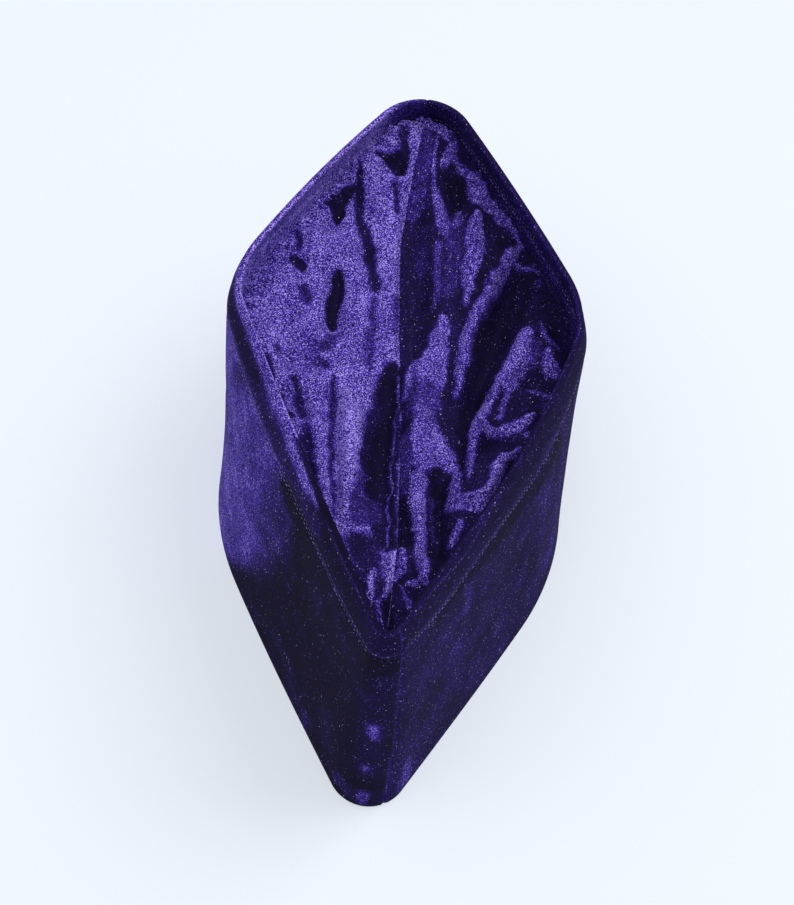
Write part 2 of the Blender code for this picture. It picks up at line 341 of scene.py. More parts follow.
@dataclass(frozen=True)
class NapAndLight:
    """A stroke of nap that lies one way, in millimetres.

    Its tone, which holds painted light and shade as well as the nap's lie, goes from 0 for near
    black to 1 for bright violet, its rise lifts the cloth under it, and its tone fades out over
    twice its edge. Its path is a line of places on a surface, each with the stroke's half width
    there.
    """

    tone: float
    rise: float
    edge: float
    path: tuple[tuple[float, float, float], ...]

    def reach(self, u: np.ndarray, v: np.ndarray) -> tuple[np.ndarray, np.ndarray]:
        """Where the stroke lies.

        Args:
            u: First place on the surface, in millimetres.
            v: Second place on the surface, in millimetres.

        Returns:
            Distance outside the stroke's border, and from its middle as a share of its rise.
        """
        rows = self.path if len(self.path) > 1 else self.path * 2
        border, middle = np.full(u.shape, np.inf), np.full(u.shape, np.inf)
        for (u0, v0, w0), (u1, v1, w1) in zip(rows, rows[1:]):
            run_u, run_v = u1 - u0, v1 - v0
            square = max(run_u**2 + run_v**2, NO_LENGTH)
            share = np.clip(((u - u0) * run_u + (v - v0) * run_v) / square, 0, 1)
            away = np.hypot(u - u0 - share * run_u, v - v0 - share * run_v)
            width = w0 + (w1 - w0) * share
            border = np.minimum(border, away - width)
            middle = np.minimum(middle, away / (width * RISE_SPREAD + RISE_MARGIN))
        return border, middle


def charted(
    strokes: Sequence[NapAndLight], base: np.ndarray, u: np.ndarray, v: np.ndarray
) -> tuple[np.ndarray, np.ndarray]:
    """Lays the strokes over a surface, the later ones on top.

    Args:
        strokes: The nap strokes.
        base: Tone of the surface before the strokes.
        u: First place on the surface, in millimetres.
        v: Second place on the surface, in millimetres.

    Returns:
        The tone and the rise in metres at each place.
    """
    tone, rise = base.copy(), np.zeros(u.shape)
    for stroke in strokes:
        border, middle = stroke.reach(u, v)
        cover = smooth(0.5 - border / (2 * stroke.edge))
        tone = tone * (1 - cover) + stroke.tone * cover
        rise = rise + stroke.rise * MM * (1 - smooth(middle))
    return tone, rise


@dataclass(frozen=True)
class Pattern:
    """The cut of the cap: its outlines, heights and the sizes that the pieces share, in metres."""

    wall_thickness: float = 0.0024
    rim_height: float = 0.1065
    rim_dip: float = 0.0122
    shoulder_drop: float = 0.0100
    shoulder_left: float = 0.0018
    shoulder_right: float = 0.0008
    tip_shoulder: float = 0.0010
    shoulder_power: float = 1.5
    crown_thickness: float = 0.0018
    front_drop: float = 0.0130
    side_drop: float = 0.0200
    back_drop: float = 0.0090
    crown_sag: float = 0.0240
    crown_slope: float = 1.5
    seam_sag_power: float = 0.8
    pucker_depth: float = 0.0013
    puckers: int = 13
    fold_fade: float = 0.0090
    gap: float = 0.0003
    # where the crown's centre seam runs, and how soon it leaves the middle at the tips
    stray_y: tuple[float, ...] = (-0.110, -0.070, -0.020, 0.020, 0.060, 0.095)
    stray_x: tuple[float, ...] = (0.0005, 0.0020, 0.0005, -0.0025, -0.0050, -0.0020)
    seam_settling: float = 4.0
    # how far round from the tip the front seam stands, by share of the wall's height
    seam_levels: tuple[float, ...] = (0.0, 0.4, 1.0)
    seam_shift: tuple[float, ...] = (0.0063, 0.0074, 0.0048)
    touch: float = 0.00002
    tangent_reach: float = 0.0005
    # half width, front tip, back tip, widest y, front, side and back rounding, front and back bow
    base_left: HalfLoop = HalfLoop(
        0.0655, -0.1260, 0.1260, 0.0275, 0.0133, 0.119, 0.0133, 0.0032, 0.0016
    )
    base_right: HalfLoop = HalfLoop(
        0.0655, -0.1260, 0.1260, 0.0145, 0.0133, 0.119, 0.0133, 0.0018, 0.0016
    )
    rim_left: HalfLoop = HalfLoop(
        0.0600, -0.1228, 0.1077, 0.0232, 0.0045, 0.032, 0.0185, 0.0019, 0.0015
    )
    rim_right: HalfLoop = HalfLoop(
        0.0594, -0.1228, 0.1077, 0.0202, 0.0045, 0.032, 0.0185, 0.0060, 0.0000
    )

    def loops(self, side: Side) -> tuple[HalfLoop, HalfLoop]:
        """The outlines of one side's foot and rim."""
        left, right = (self.base_left, self.rim_left), (self.base_right, self.rim_right)
        return left if side is Side.LEFT else right

    def foot(self, side: Side, places: np.ndarray) -> np.ndarray:
        """Points of one side's foot at shares of its length."""
        return self.loops(side)[0].at(self.loops(side.other)[0], places)

    def rim(self, side: Side, places: np.ndarray) -> np.ndarray:
        """Points of one side's rim at shares of its length."""
        return self.loops(side)[1].at(self.loops(side.other)[1], places)

    def seam_start(self, side: Side, up: np.ndarray) -> np.ndarray:
        """Where a wall starts, at the front seam.

        Args:
            side: Which wall.
            up: Shares of the wall's height.

        Returns:
            The share of the length there, below zero beyond the front tip.
        """
        lengths = [loop.wrapped(loop)[1][-1] for loop in self.loops(side)]
        shift = np.interp(up, self.seam_levels, self.seam_shift)
        return side.sign * shift / (lengths[0] * (1 - up) + lengths[1] * up)

    def rim_at(self, side: Side, places: np.ndarray) -> np.ndarray:
        """Height of the rim, lower where the cap is wide."""
        across = self.rim(side, places)[:, 0] / self.loops(side)[1].half_width
        return self.rim_height - self.rim_dip * across**2

    def drop_at(self, side: Side, places: np.ndarray) -> np.ndarray:
        """How far below the rim the crown is gathered in.

        Args:
            side: Which wall.
            places: Shares of the wall's length.

        Returns:
            The drop at each place.
        """
        widest_y = self.loops(side)[1].widest_y
        widest = float(np.interp(widest_y, self.rim(side, places)[:, 1], places))
        ahead = places < widest
        share = np.where(ahead, places / widest, (1 - places) / (1 - widest))
        tip = np.where(ahead, self.front_drop, self.back_drop)
        return tip + (self.side_drop - tip) * np.sin(math.pi / 2 * share)

    def swell(self, side: Side, places: np.ndarray, up: np.ndarray) -> np.ndarray:
        """How far a wall stands out of the straight line from its foot to its rim.

        Args:
            side: Which wall.
            places: Shares of the wall's length.
            up: Share of the wall's height at each place.

        Returns:
            The swell at each place.
        """
        peak = 1 - self.shoulder_drop / self.rim_at(side, places)
        rise = np.where(up < peak, up / peak, (1 - up) / (1 - peak))
        fullest = self.shoulder_left if side is Side.LEFT else self.shoulder_right
        fullness = fullest * np.sin(math.pi * places) ** 2 + self.tip_shoulder
        return fullness * np.sin(math.pi / 2 * np.clip(rise, 0, 1)) ** self.shoulder_power

    def level(self, side: Side, places: np.ndarray, up: np.ndarray) -> np.ndarray:
        """Points at shares of a wall's height, on the straight lines from its foot to its rim."""
        return self.foot(side, places) * (1 - up)[:, None] + self.rim(side, places) * up[:, None]

    def wall(
        self, side: Side, places: np.ndarray, up: np.ndarray, depth: np.ndarray | float
    ) -> np.ndarray:
        """Points of a wall.

        Args:
            side: Which wall.
            places: Shares of the wall's length, in rising order.
            up: Share of the wall's height at each place.
            depth: Depth behind the wall's outer face, in metres.

        Returns:
            One point to a place.
        """
        level = self.level(side, places, up)
        ahead = self.level(side, places + self.tangent_reach, up)
        run = ahead - self.level(side, places - self.tangent_reach, up)
        run /= np.linalg.norm(run, axis=1)[:, None]
        run[-1] = (-1, 0)
        inward = np.column_stack([-run[:, 1], run[:, 0]])
        level = level + inward * (depth - self.swell(side, places, up))[:, None]
        level[0] += run[0] * self.touch / 2
        x = np.where(places > 0.5, np.maximum(level[:, 0], self.touch / 2), level[:, 0])
        return np.column_stack([x * side.sign, level[:, 1], up * self.rim_at(side, places)])


@dataclass
class Cloth:
    """A sheet of cloth while it is being made."""

    name: str
    mesh: bpy.types.Mesh

    @classmethod
    def woven(cls, name: str, rows: Sequence[np.ndarray], flipped: bool) -> Cloth:
        """Makes a sheet from a grid of points, a row after a row.

        Args:
            name: Name of the sheet.
            rows: Rows of points, all of one length.
            flipped: Whether the grid's faces are turned over.

        Returns:
            The open sheet.
        """
        mesh = bpy.data.meshes.new(name)
        with reshaped(mesh) as shape:
            columns, gaps = len(rows[0]) - 1, len(rows) - 1
            bmesh.ops.create_grid(shape, x_segments=columns, y_segments=gaps, size=1)
            if flipped:
                bmesh.ops.reverse_faces(shape, faces=shape.faces)
        mesh.vertices.foreach_set("co", np.concatenate(rows).astype(np.float32).ravel())
        mesh.update()
        return cls(name, mesh)

    def paint(self, tone: np.ndarray) -> None:
        """Keeps a tone of nap and painted light and shade for each vertex."""
        layer = self.mesh.attributes.new(NAP_AND_LIGHT, "FLOAT", "POINT")
        layer.data.foreach_set("value", tone.astype(np.float32))

    def close(self, across: int) -> None:
        """Joins the first row to the last one, and fills the two ends.

        Args:
            across: How many points a row has.
        """
        with reshaped(self.mesh) as shape:
            shape.verts.ensure_lookup_table()
            count = len(shape.verts)
            first, last = set(range(across)), set(range(count - across, count))
            ends = [(edge, {vert.index for vert in edge.verts}) for edge in rims(shape)]
            feet = [edge for edge, found in ends if found <= first or found <= last]
            bmesh.ops.bridge_loops(shape, edges=feet)
            bmesh.ops.holes_fill(shape, edges=rims(shape), sides=0)
            bmesh.ops.recalc_face_normals(shape, faces=shape.faces)

    def thicken(self, thickness: float) -> None:
        """Gives an open sheet its thickness below.

        Args:
            thickness: The thickness, in metres.
        """
        with reshaped(self.mesh) as shape:
            made = bmesh.ops.extrude_face_region(shape, geom=shape.faces, use_keep_orig=True)
            below = [item for item in made["geom"] if isinstance(item, bmesh.types.BMVert)]
            bmesh.ops.translate(shape, verts=below, vec=(0, 0, -thickness))
            bmesh.ops.recalc_face_normals(shape, faces=shape.faces)

    def placed(self, material: bpy.types.Material) -> bpy.types.Object:
        """Adds the sheet to the scene, smooth-shaded and in its material.

        Args:
            material: The material.

        Returns:
            The new piece.
        """
        self.mesh.materials.append(material)
        self.mesh.shade_smooth()
        self.mesh.set_sharp_from_angle(angle=SHARP_ANGLE)
        piece = bpy.data.objects.new(self.name, self.mesh)
        bpy.context.scene.collection.objects.link(piece)
        return piece


@dataclass(frozen=True)
class Dent:
    """A soft dent in a wall, placed by its share of the wall's length and height."""

    along: float
    up: float
    depth: float
    length: float
    height: float

    def depth_at(self, places: np.ndarray, up: np.ndarray) -> np.ndarray:
        """How far the dent pushes the wall in at each place."""
        reach = ((places - self.along) / self.length) ** 2 + ((up - self.up) / self.height) ** 2
        return self.depth * np.exp(-reach)


@dataclass(frozen=True)
class Row:
    """One row of a wall's cross-section.

    It lies at `low` metres plus `share` of the rim's height, at a depth behind the outer face.
    """

    low: float
    share: float
    depth: float
    face: Face


@dataclass(frozen=True)
class SideBand:
    """A stiffened side wall in velvet, folded over at the rim.

    Its strokes of nap and painted light and shade lie by (length along y, way down from the rim),
    and those of its front tip by (across, way down from the rim). The stitch line is a list of
    such places in millimetres.
    """

    pattern: Pattern
    side: Side
    dents: tuple[Dent, ...]
    outer_tone: float
    inner_tone: float
    strokes: tuple[NapAndLight, ...]
    hem_strokes: tuple[NapAndLight, ...]
    inner_strokes: tuple[NapAndLight, ...]
    tip_strokes: tuple[NapAndLight, ...]
    stitch_line: tuple[tuple[float, float], ...]
    inner_stitch_drop: float = 0.0106
    tip_reach: float = 0.0100
    # mesh
    sections: int = 430
    crowding: float = 0.45
    foot_round: float = 0.0008
    foot_rows: int = 3
    zone: float = 0.0190  # below the rim, with rows of its own
    body_rows: int = 56
    zone_rows: int = 24
    arc_rows: int = 5
    # relief
    groove: float = 0.00035
    groove_width: float = 0.0012
    roll: float = 0.0004
    roll_width: float = 0.0011
    waves: tuple[Noise, ...] = (Noise(0.00060, 0.028, 3.7), Noise(0.00025, 0.009, 3.7))
    wave_top: float = 0.98
    # the nap's unevenness, and a painted highlight along the front seam
    wander: float = 1.8
    hem_wander: float = 0.7
    stray_along: tuple[Noise, ...] = (Noise(1.0, 0.006, 1.3), Noise(0.5, 0.002, 7.7))
    stray_down: tuple[Noise, ...] = (Noise(1.0, 0.006, 5.1), Noise(0.5, 0.002, 11.5))
    stray_across: Noise = Noise(1.0, 0.005, 8.8)
    mottle: tuple[Noise, ...] = (Noise(1.0, 0.009, 2.2), Noise(0.6, 0.0035, 6.6))
    mottle_strength: float = 0.17
    hem_mottle: float = 0.4
    seam_highlight_tone: float = 0.55
    seam_highlight: float = 0.65
    seam_highlight_width: float = 0.0014

    @property
    def node(self) -> str:
        """The name of the solid that the wall stands for."""
        return f"side_band_{self.side.value}"

    @property
    def name(self) -> str:
        """The name of the piece and of its finish."""
        return f"band_velvet_{self.side.value}"

    def half_profile(self) -> list[tuple[float, float, float]]:
        """Lists the rows of one face from the foot up to the rim.

        Returns:
            Each row as (low, share, depth behind that face).
        """
        foot, top = self.foot_round, self.pattern.wall_thickness / 2
        rows = []
        for turn in np.linspace(0, math.pi / 2, self.foot_rows + 1)[:-1]:
            rows.append((foot * (1 - math.cos(turn)), 0.0, foot * (1 - math.sin(turn))))
        for share in np.linspace(0, 1, self.body_rows):
            rows.append((foot * (1 - share) - self.zone * share, share, 0.0))
        for drop in np.linspace(self.zone, top, self.zone_rows)[1:]:
            rows.append((-drop, 1.0, 0.0))
        for turn in np.linspace(0, math.pi / 2, self.arc_rows + 1)[1:]:
            rows.append((-top * (1 - math.sin(turn)), 1.0, top * (1 - math.cos(turn))))
        return rows

    def profile(self) -> list[Row]:
        """Lists the rows of the whole cross-section.

        Returns:
            The rows, from the outer foot over the rim to the inner foot.
        """
        half, thick = self.half_profile(), self.pattern.wall_thickness
        outer = [Row(low, share, depth, Face.OUTER) for low, share, depth in half]
        back = reversed(half[:-1])
        return outer + [Row(low, share, thick - depth, Face.INNER) for low, share, depth in back]

    def stitch_drop(self, face: Face, cuts: np.ndarray) -> np.ndarray:
        """How far below the rim the middle of the stitching runs.

        Args:
            face: The face of the wall.
            cuts: Shares of the way from the front seam to the back one.

        Returns:
            The drop at each cut.
        """
        if face is Face.INNER:
            return np.full(len(cuts), self.inner_stitch_drop)
        along, drops = np.transpose(self.stitch_line) * MM
        return np.interp(self.pattern.rim(self.side, cuts)[:, 1], along, drops)

    def row_points(
        self, row: Row, cuts: np.ndarray, lower: np.ndarray | float = 0.0
    ) -> np.ndarray:
        """The points of one row, with the wall's dents, waves, stitch groove and rolled-in ends.

        Args:
            row: The row of the cross-section.
            cuts: Shares of the way from the front seam to the back one.
            lower: How much lower than the row the points lie, in metres.

        Returns:
            One point to a cut.
        """
        high = self.pattern.rim_at(self.side, cuts)
        up = np.clip((row.low + row.share * high - lower) / high, 0, 1)
        start = self.pattern.seam_start(self.side, up)
        places = start + (1 - start) * cuts
        flat = self.pattern.wall(self.side, places, up, 0.0)
        dents = sum(dent.depth_at(places, up) for dent in self.dents)
        soft = dents * np.sin(math.pi * places) * np.sin(math.pi * up)
        taper = np.sin(math.pi * np.clip(up, 0, self.wave_top))
        for wave in self.waves:
            soft = soft + wave.at(flat) * taper
        from_stitches = high * (1 - up) - self.stitch_drop(row.face, cuts)
        pinch = self.groove * np.exp(-((from_stitches / self.groove_width) ** 2))
        run = run_along(flat)
        rolled = self.roll * (1 - smooth(np.minimum(run, run[-1] - run) / self.roll_width))
        sign = 1 if row.face is Face.OUTER else -1
        return self.pattern.wall(self.side, places, up, row.depth + soft + sign * (pinch + rolled))

    def tones(self, row: Row, points: np.ndarray, rim: np.ndarray) -> np.ndarray:
        """The tone of nap and painted light and shade along one row.

        Args:
            row: The row of the cross-section.
            points: Its points.
            rim: Height of the rim above each point.

        Returns:
            One tone to a point.
        """
        outer = row.face is Face.OUTER
        into = row.depth if outer else self.pattern.wall_thickness - row.depth
        along, down = points[:, 1] / MM, (rim - points[:, 2] - into) / MM
        stray_u, stray_v = layered(self.stray_along, points), layered(self.stray_down, points)
        near = along + self.hem_wander * stray_u, down + self.hem_wander * stray_v
        mottle = self.mottle_strength * layered(self.mottle, points)
        if not outer:
            return charted(self.inner_strokes, self.inner_tone + mottle, *near)[0]
        far = along + self.wander * stray_u, down + self.wander * stray_v
        tone = charted(self.strokes, np.full(len(points), self.outer_tone), *far)[0] + mottle
        tone = charted(self.hem_strokes, tone, *near)[0] + mottle * self.hem_mottle
        at_tip = smooth(1 - (points[:, 1] - points[:, 1].min()) / self.tip_reach)
        across = points[:, 0] / MM + self.wander * self.stray_across.at(points)
        tone = tone * (1 - at_tip) + charted(self.tip_strokes, tone, across, far[1])[0] * at_tip
        # Painted highlight: a lighter line along the front seam.
        highlight_at_seam = self.seam_highlight * (1 - smooth(run_along(points) / self.seam_highlight_width))
        return tone * (1 - highlight_at_seam) + self.seam_highlight_tone * highlight_at_seam

    def build(self) -> Cloth:
        """Makes the wall's mesh, closed, with its tone of nap and painted light and shade painted
        in.

        Returns:
            The wall's cloth.
        """
        cuts, profile = crowded(self.sections, self.crowding), self.profile()
        rows = [self.row_points(row, cuts) for row in profile]
        rim = self.pattern.rim_at(self.side, cuts)
        cloth = Cloth.woven(self.name, rows, flipped=self.side is Side.LEFT)
        cloth.paint(
            np.concatenate([self.tones(row, points, rim) for row, points in zip(profile, rows)])
        )
        cloth.close(len(cuts))
        return cloth


@dataclass(frozen=True)
class CrownPanel:
    """One slack panel of the soft crown, with its folds, gathers and rolled seam edge."""

    pattern: Pattern
    side: Side
    folds: tuple[Fold, ...]
    tone: float
    strokes: tuple[NapAndLight, ...]
    # mesh
    along: int = 380
    across: int = 104
    crowding: float = 0.35
    across_crowding: float = 0.30
    # relief
    relief: float = 0.45
    gather_height: float = 0.0008
    gather_length: float = 0.0055
    gather_reach: float = 0.0080
    gather_stray: float = 0.55
    gather_stray_size: float = 0.011
    gather_change: float = 0.9
    gather_change_size: float = 0.017
    seam_roll: float = 0.0013
    seam_roll_width: float = 0.0017
    crumples: tuple[Noise, ...] = (
        Noise(0.00130, 0.0130, 9.1),
        Noise(0.00070, 0.0060, 9.1),
        Noise(0.00028, 0.0026, 9.1),
    )
    crumple_stretch: float = 0.45
    crumple_fade: float = 0.004
    # painted light on the slopes of the fine relief, the lowest tone, and the nap's unevenness
    painted_slope_light: float = 0.55
    steepest: float = 0.6
    floor: float = 0.11
    wander: float = 1.8
    stray_across: tuple[Noise, ...] = (Noise(1.0, 0.005, 1.3), Noise(0.6, 0.0018, 7.7))
    stray_along: tuple[Noise, ...] = (Noise(1.0, 0.005, 5.1), Noise(0.6, 0.0018, 2.9))

    @property
    def node(self) -> str:
        """The name of the solid that the panel stands for."""
        return f"crown_{self.side.value}"

    @property
    def name(self) -> str:
        """The name of the piece and of its finish."""
        return f"crown_velvet_{self.side.value}"

    def join(self) -> np.ndarray:
        """Draws the line where the panel is gathered into the wall.

        Returns:
            Its points from the front to the back.
        """
        cut = self.pattern
        places = crowded(self.along + 2, self.crowding)
        high = cut.rim_at(self.side, places)
        pucker = cut.pucker_depth * np.sin(2 * math.pi * cut.puckers * places)
        up = (high - cut.drop_at(self.side, places) + pucker) / high
        return cut.wall(self.side, places, up, cut.wall_thickness + cut.gap)[1:-1]

    def seam(self, y: np.ndarray) -> np.ndarray:
        """Draws the centre seam, which sags between its ends and strays from the middle.

        Args:
            y: Places along the cap.

        Returns:
            One point to a place.
        """
        cut = self.pattern
        ends = y[0], y[-1]
        centred = 1 - ((y - (ends[0] + ends[1]) / 2) / ((ends[1] - ends[0]) / 2)) ** 2
        centred = np.clip(centred, 0, 1)
        tips = (cut.rim_height - cut.front_drop, cut.rim_height - cut.back_drop)
        height = np.interp(y, ends, tips) - cut.crown_sag * centred**cut.seam_sag_power
        stray = np.interp(y, cut.stray_y, cut.stray_x) * np.clip(centred * cut.seam_settling, 0, 1)
        return np.column_stack([stray + cut.touch / 2 * self.side.sign, y, height])

    def gathers(self, join: np.ndarray) -> np.ndarray:
        """The small gathers that fan out from the join.

        Args:
            join: The line where the panel is gathered into the wall.

        Returns:
            Their height at each point of the join.
        """
        run = run_along(join)
        line = np.column_stack([run, run * 0, run * 0])
        stray = self.gather_stray * rough(line, self.gather_stray_size, self.side.sign)
        change = self.gather_change * rough(line, self.gather_change_size, 4 + self.side.sign)
        phase = run / self.gather_length + stray
        return self.gather_height * (1 + change) * np.sin(2 * math.pi * phase)

    def row(
        self, share: float, seam: np.ndarray, join: np.ndarray, gathers: np.ndarray
    ) -> tuple[np.ndarray, np.ndarray, np.ndarray]:
        """One row of the panel, from the front to the back.

        Args:
            share: Its share of the way from the centre seam out to the wall.
            seam: The centre seam.
            join: The line where the panel is gathered into the wall.
            gathers: Height of the gathers along the join.

        Returns:
            The row's points, their tones of nap and painted light and shade, and the height of
            their finest relief.
        """
        cut, y = self.pattern, join[:, 1]
        x = seam[:, 0] * (1 - share) + join[:, 0] * share
        height = seam[:, 2] + (join[:, 2] - seam[:, 2]) * share**cut.crown_slope
        from_tips, from_wall = np.minimum(y - y[0], y[-1] - y), np.abs(join[:, 0] - x)
        fade = np.clip(from_tips / cut.fold_fade, 0, 1) * np.clip(from_wall / cut.fold_fade, 0, 1)
        lift = sum(fold.lift(x, y) for fold in self.folds) * fade
        flat = np.column_stack([x, y, np.zeros_like(x)])
        u = x / MM + self.wander * layered(self.stray_across, flat)
        v = y / MM + self.wander * layered(self.stray_along, flat)
        tone, rise = charted(self.strokes, np.full(len(x), self.tone), u, v)
        fine = layered(self.crumples, flat * (1, self.crumple_stretch, 1))
        fine = fine * np.clip(from_tips / self.crumple_fade, 0, 1)
        fine = fine + gathers * smooth(1 - from_wall / self.gather_reach)
        roll = self.seam_roll * (1 - smooth(np.abs(x - seam[:, 0]) / self.seam_roll_width))
        z = height + lift + rise * self.relief * fade + fine - roll
        return np.column_stack([x, y, z]), tone, fine

    def build(self) -> Cloth:
        """Makes the panel's mesh, with its tone of nap and painted light and shade painted in and
        its thickness below.

        Returns:
            The panel's cloth.
        """
        join = self.join()
        seam, gathers = self.seam(join[:, 1]), self.gathers(join)
        shares = crowded(self.across, self.across_crowding)
        points, tones, fines = zip(*(self.row(share, seam, join, gathers) for share in shares))
        # Painted light: slopes of the fine relief that face right are painted lighter and those
        # that face left darker, as if lit from the right.
        across = np.gradient(np.array(points)[:, :, 0], axis=0)
        slope = np.gradient(np.array(fines), axis=0) / across
        shine = self.painted_slope_light * np.clip(slope, -self.steepest, self.steepest)
        lit = self.floor + (1 - self.floor) * np.clip(np.array(tones) - shine, 0, 1)
        cloth = Cloth.woven(self.name, points, flipped=self.side is Side.RIGHT)
        cloth.paint(lit.ravel())
        cloth.thicken(self.pattern.crown_thickness)
        return cloth


@dataclass(frozen=True)
class Topstitch:
    """The double rows of stitches below a wall's rim, on its outer and inner faces."""

    band: SideBand
    offsets: tuple[float, ...] = (-0.0009, 0.0009)
    pitch: float = 0.0020
    length: float = 0.0015
    radius: float = 0.00020
    sunk: float = 0.00012
    first: float = 0.002  # from the front seam
    last: float = 0.004  # before the back seam
    line_points: int = 2400

    @property
    def name(self) -> str:
        """The name of the piece."""
        return f"topstitch_{self.band.side.value}"

    def row(self, offset: float, face: Face) -> np.ndarray:
        """The line that one row of stitches follows.

        Args:
            offset: How far below the middle of the double row it lies.
            face: The face of the wall.

        Returns:
            The line's points.
        """
        cuts = np.linspace(0, 1, self.line_points)
        depth = self.sunk if face is Face.OUTER else self.band.pattern.wall_thickness - self.sunk
        drop = self.band.stitch_drop(face, cuts) + offset
        return self.band.row_points(Row(0.0, 1.0, depth, face), cuts, drop)

    def sew(self, shape: bmesh.types.BMesh, begin: Vector, end: Vector) -> None:
        """Adds one stitch, a small spindle.

        Args:
            shape: The mesh that takes it.
            begin: Where it starts.
            end: Where it ends.
        """
        turn = (end - begin).normalized().to_track_quat("Z", "Y").to_matrix().to_4x4()
        size = Matrix.Diagonal((self.radius, self.radius, self.length / 2, 1))
        place = Matrix.Translation((begin + end) / 2) @ turn @ size
        bmesh.ops.create_uvsphere(shape, u_segments=6, v_segments=5, radius=1, matrix=place)

    def build(self) -> Cloth:
        """Makes all the stitches of one wall.

        Returns:
            The stitches as one mesh.
        """
        mesh = bpy.data.meshes.new(self.name)
        with reshaped(mesh) as shape:
            for face, offset in itertools.product(Face, self.offsets):
                line = self.row(offset, face)
                run = run_along(line)
                starts = np.arange(self.first, run[-1] - self.last, self.pitch)
                ends = points_at(line, run, starts + self.length)
                for begin, end in zip(points_at(line, run, starts), ends):
                    self.sew(shape, Vector(begin), Vector(end))
        return Cloth(self.name, mesh)


class Value:
    """A number socket that is worked on with the plain signs of arithmetic."""

    def __init__(self, bench: Bench, socket: bpy.types.NodeSocket) -> None:
        """Wraps a socket of one of the bench's nodes."""
        self.bench = bench
        self.socket = socket

    def _math(self, operation: str, *terms: Value | float) -> Value:
        """The result of a sum worked out by one node."""
        node = self.bench.node("ShaderNodeMath", {"operation": operation}, dict(enumerate(terms)))
        return Value(self.bench, node.outputs["Value"])

    def __add__(self, other: Value | float) -> Value:
        """This value plus another."""
        return self._math("ADD", self, other)

    def __radd__(self, other: float) -> Value:
        """A number plus this value."""
        return self._math("ADD", other, self)

    def __sub__(self, other: Value | float) -> Value:
        """This value less another."""
        return self._math("SUBTRACT", self, other)

    def __rsub__(self, other: float) -> Value:
        """A number less this value."""
        return self._math("SUBTRACT", other, self)

    def __mul__(self, other: Value | float) -> Value:
        """This value times another."""
        return self._math("MULTIPLY", self, other)

    def __rmul__(self, other: float) -> Value:
        """A number times this value."""
        return self._math("MULTIPLY", other, self)

    def __pow__(self, other: Value | float) -> Value:
        """This value to a power."""
        return self._math("POWER", self, other)

    def __rpow__(self, other: float) -> Value:
        """A number to the power of this value."""
        return self._math("POWER", other, self)

    def under(self, other: Value | float) -> Value:
        """One where this value is the smaller, else nothing."""
        return self._math("LESS_THAN", self, other)

    def held(self) -> Value:
        """The value kept between nothing and one."""
        node = self.bench.node("ShaderNodeClamp", {}, {"Value": self})
        return Value(self.bench, node.outputs["Result"])

    def span(self, low: float, high: float, start: float = 0.0, end: float = 1.0) -> Value:
        """Moves the value from one range to another, with a soft step.

        Args:
            low: Where the first range starts.
            high: Where it ends.
            start: What its start becomes.
            end: What its end becomes.

        Returns:
            The moved value.
        """
        settings = {"interpolation_type": "SMOOTHSTEP"}
        places = {"Value": self, "From Min": low, "From Max": high, "To Min": start, "To Max": end}
        node = self.bench.node("ShaderNodeMapRange", settings, places)
        return Value(self.bench, node.outputs["Result"])


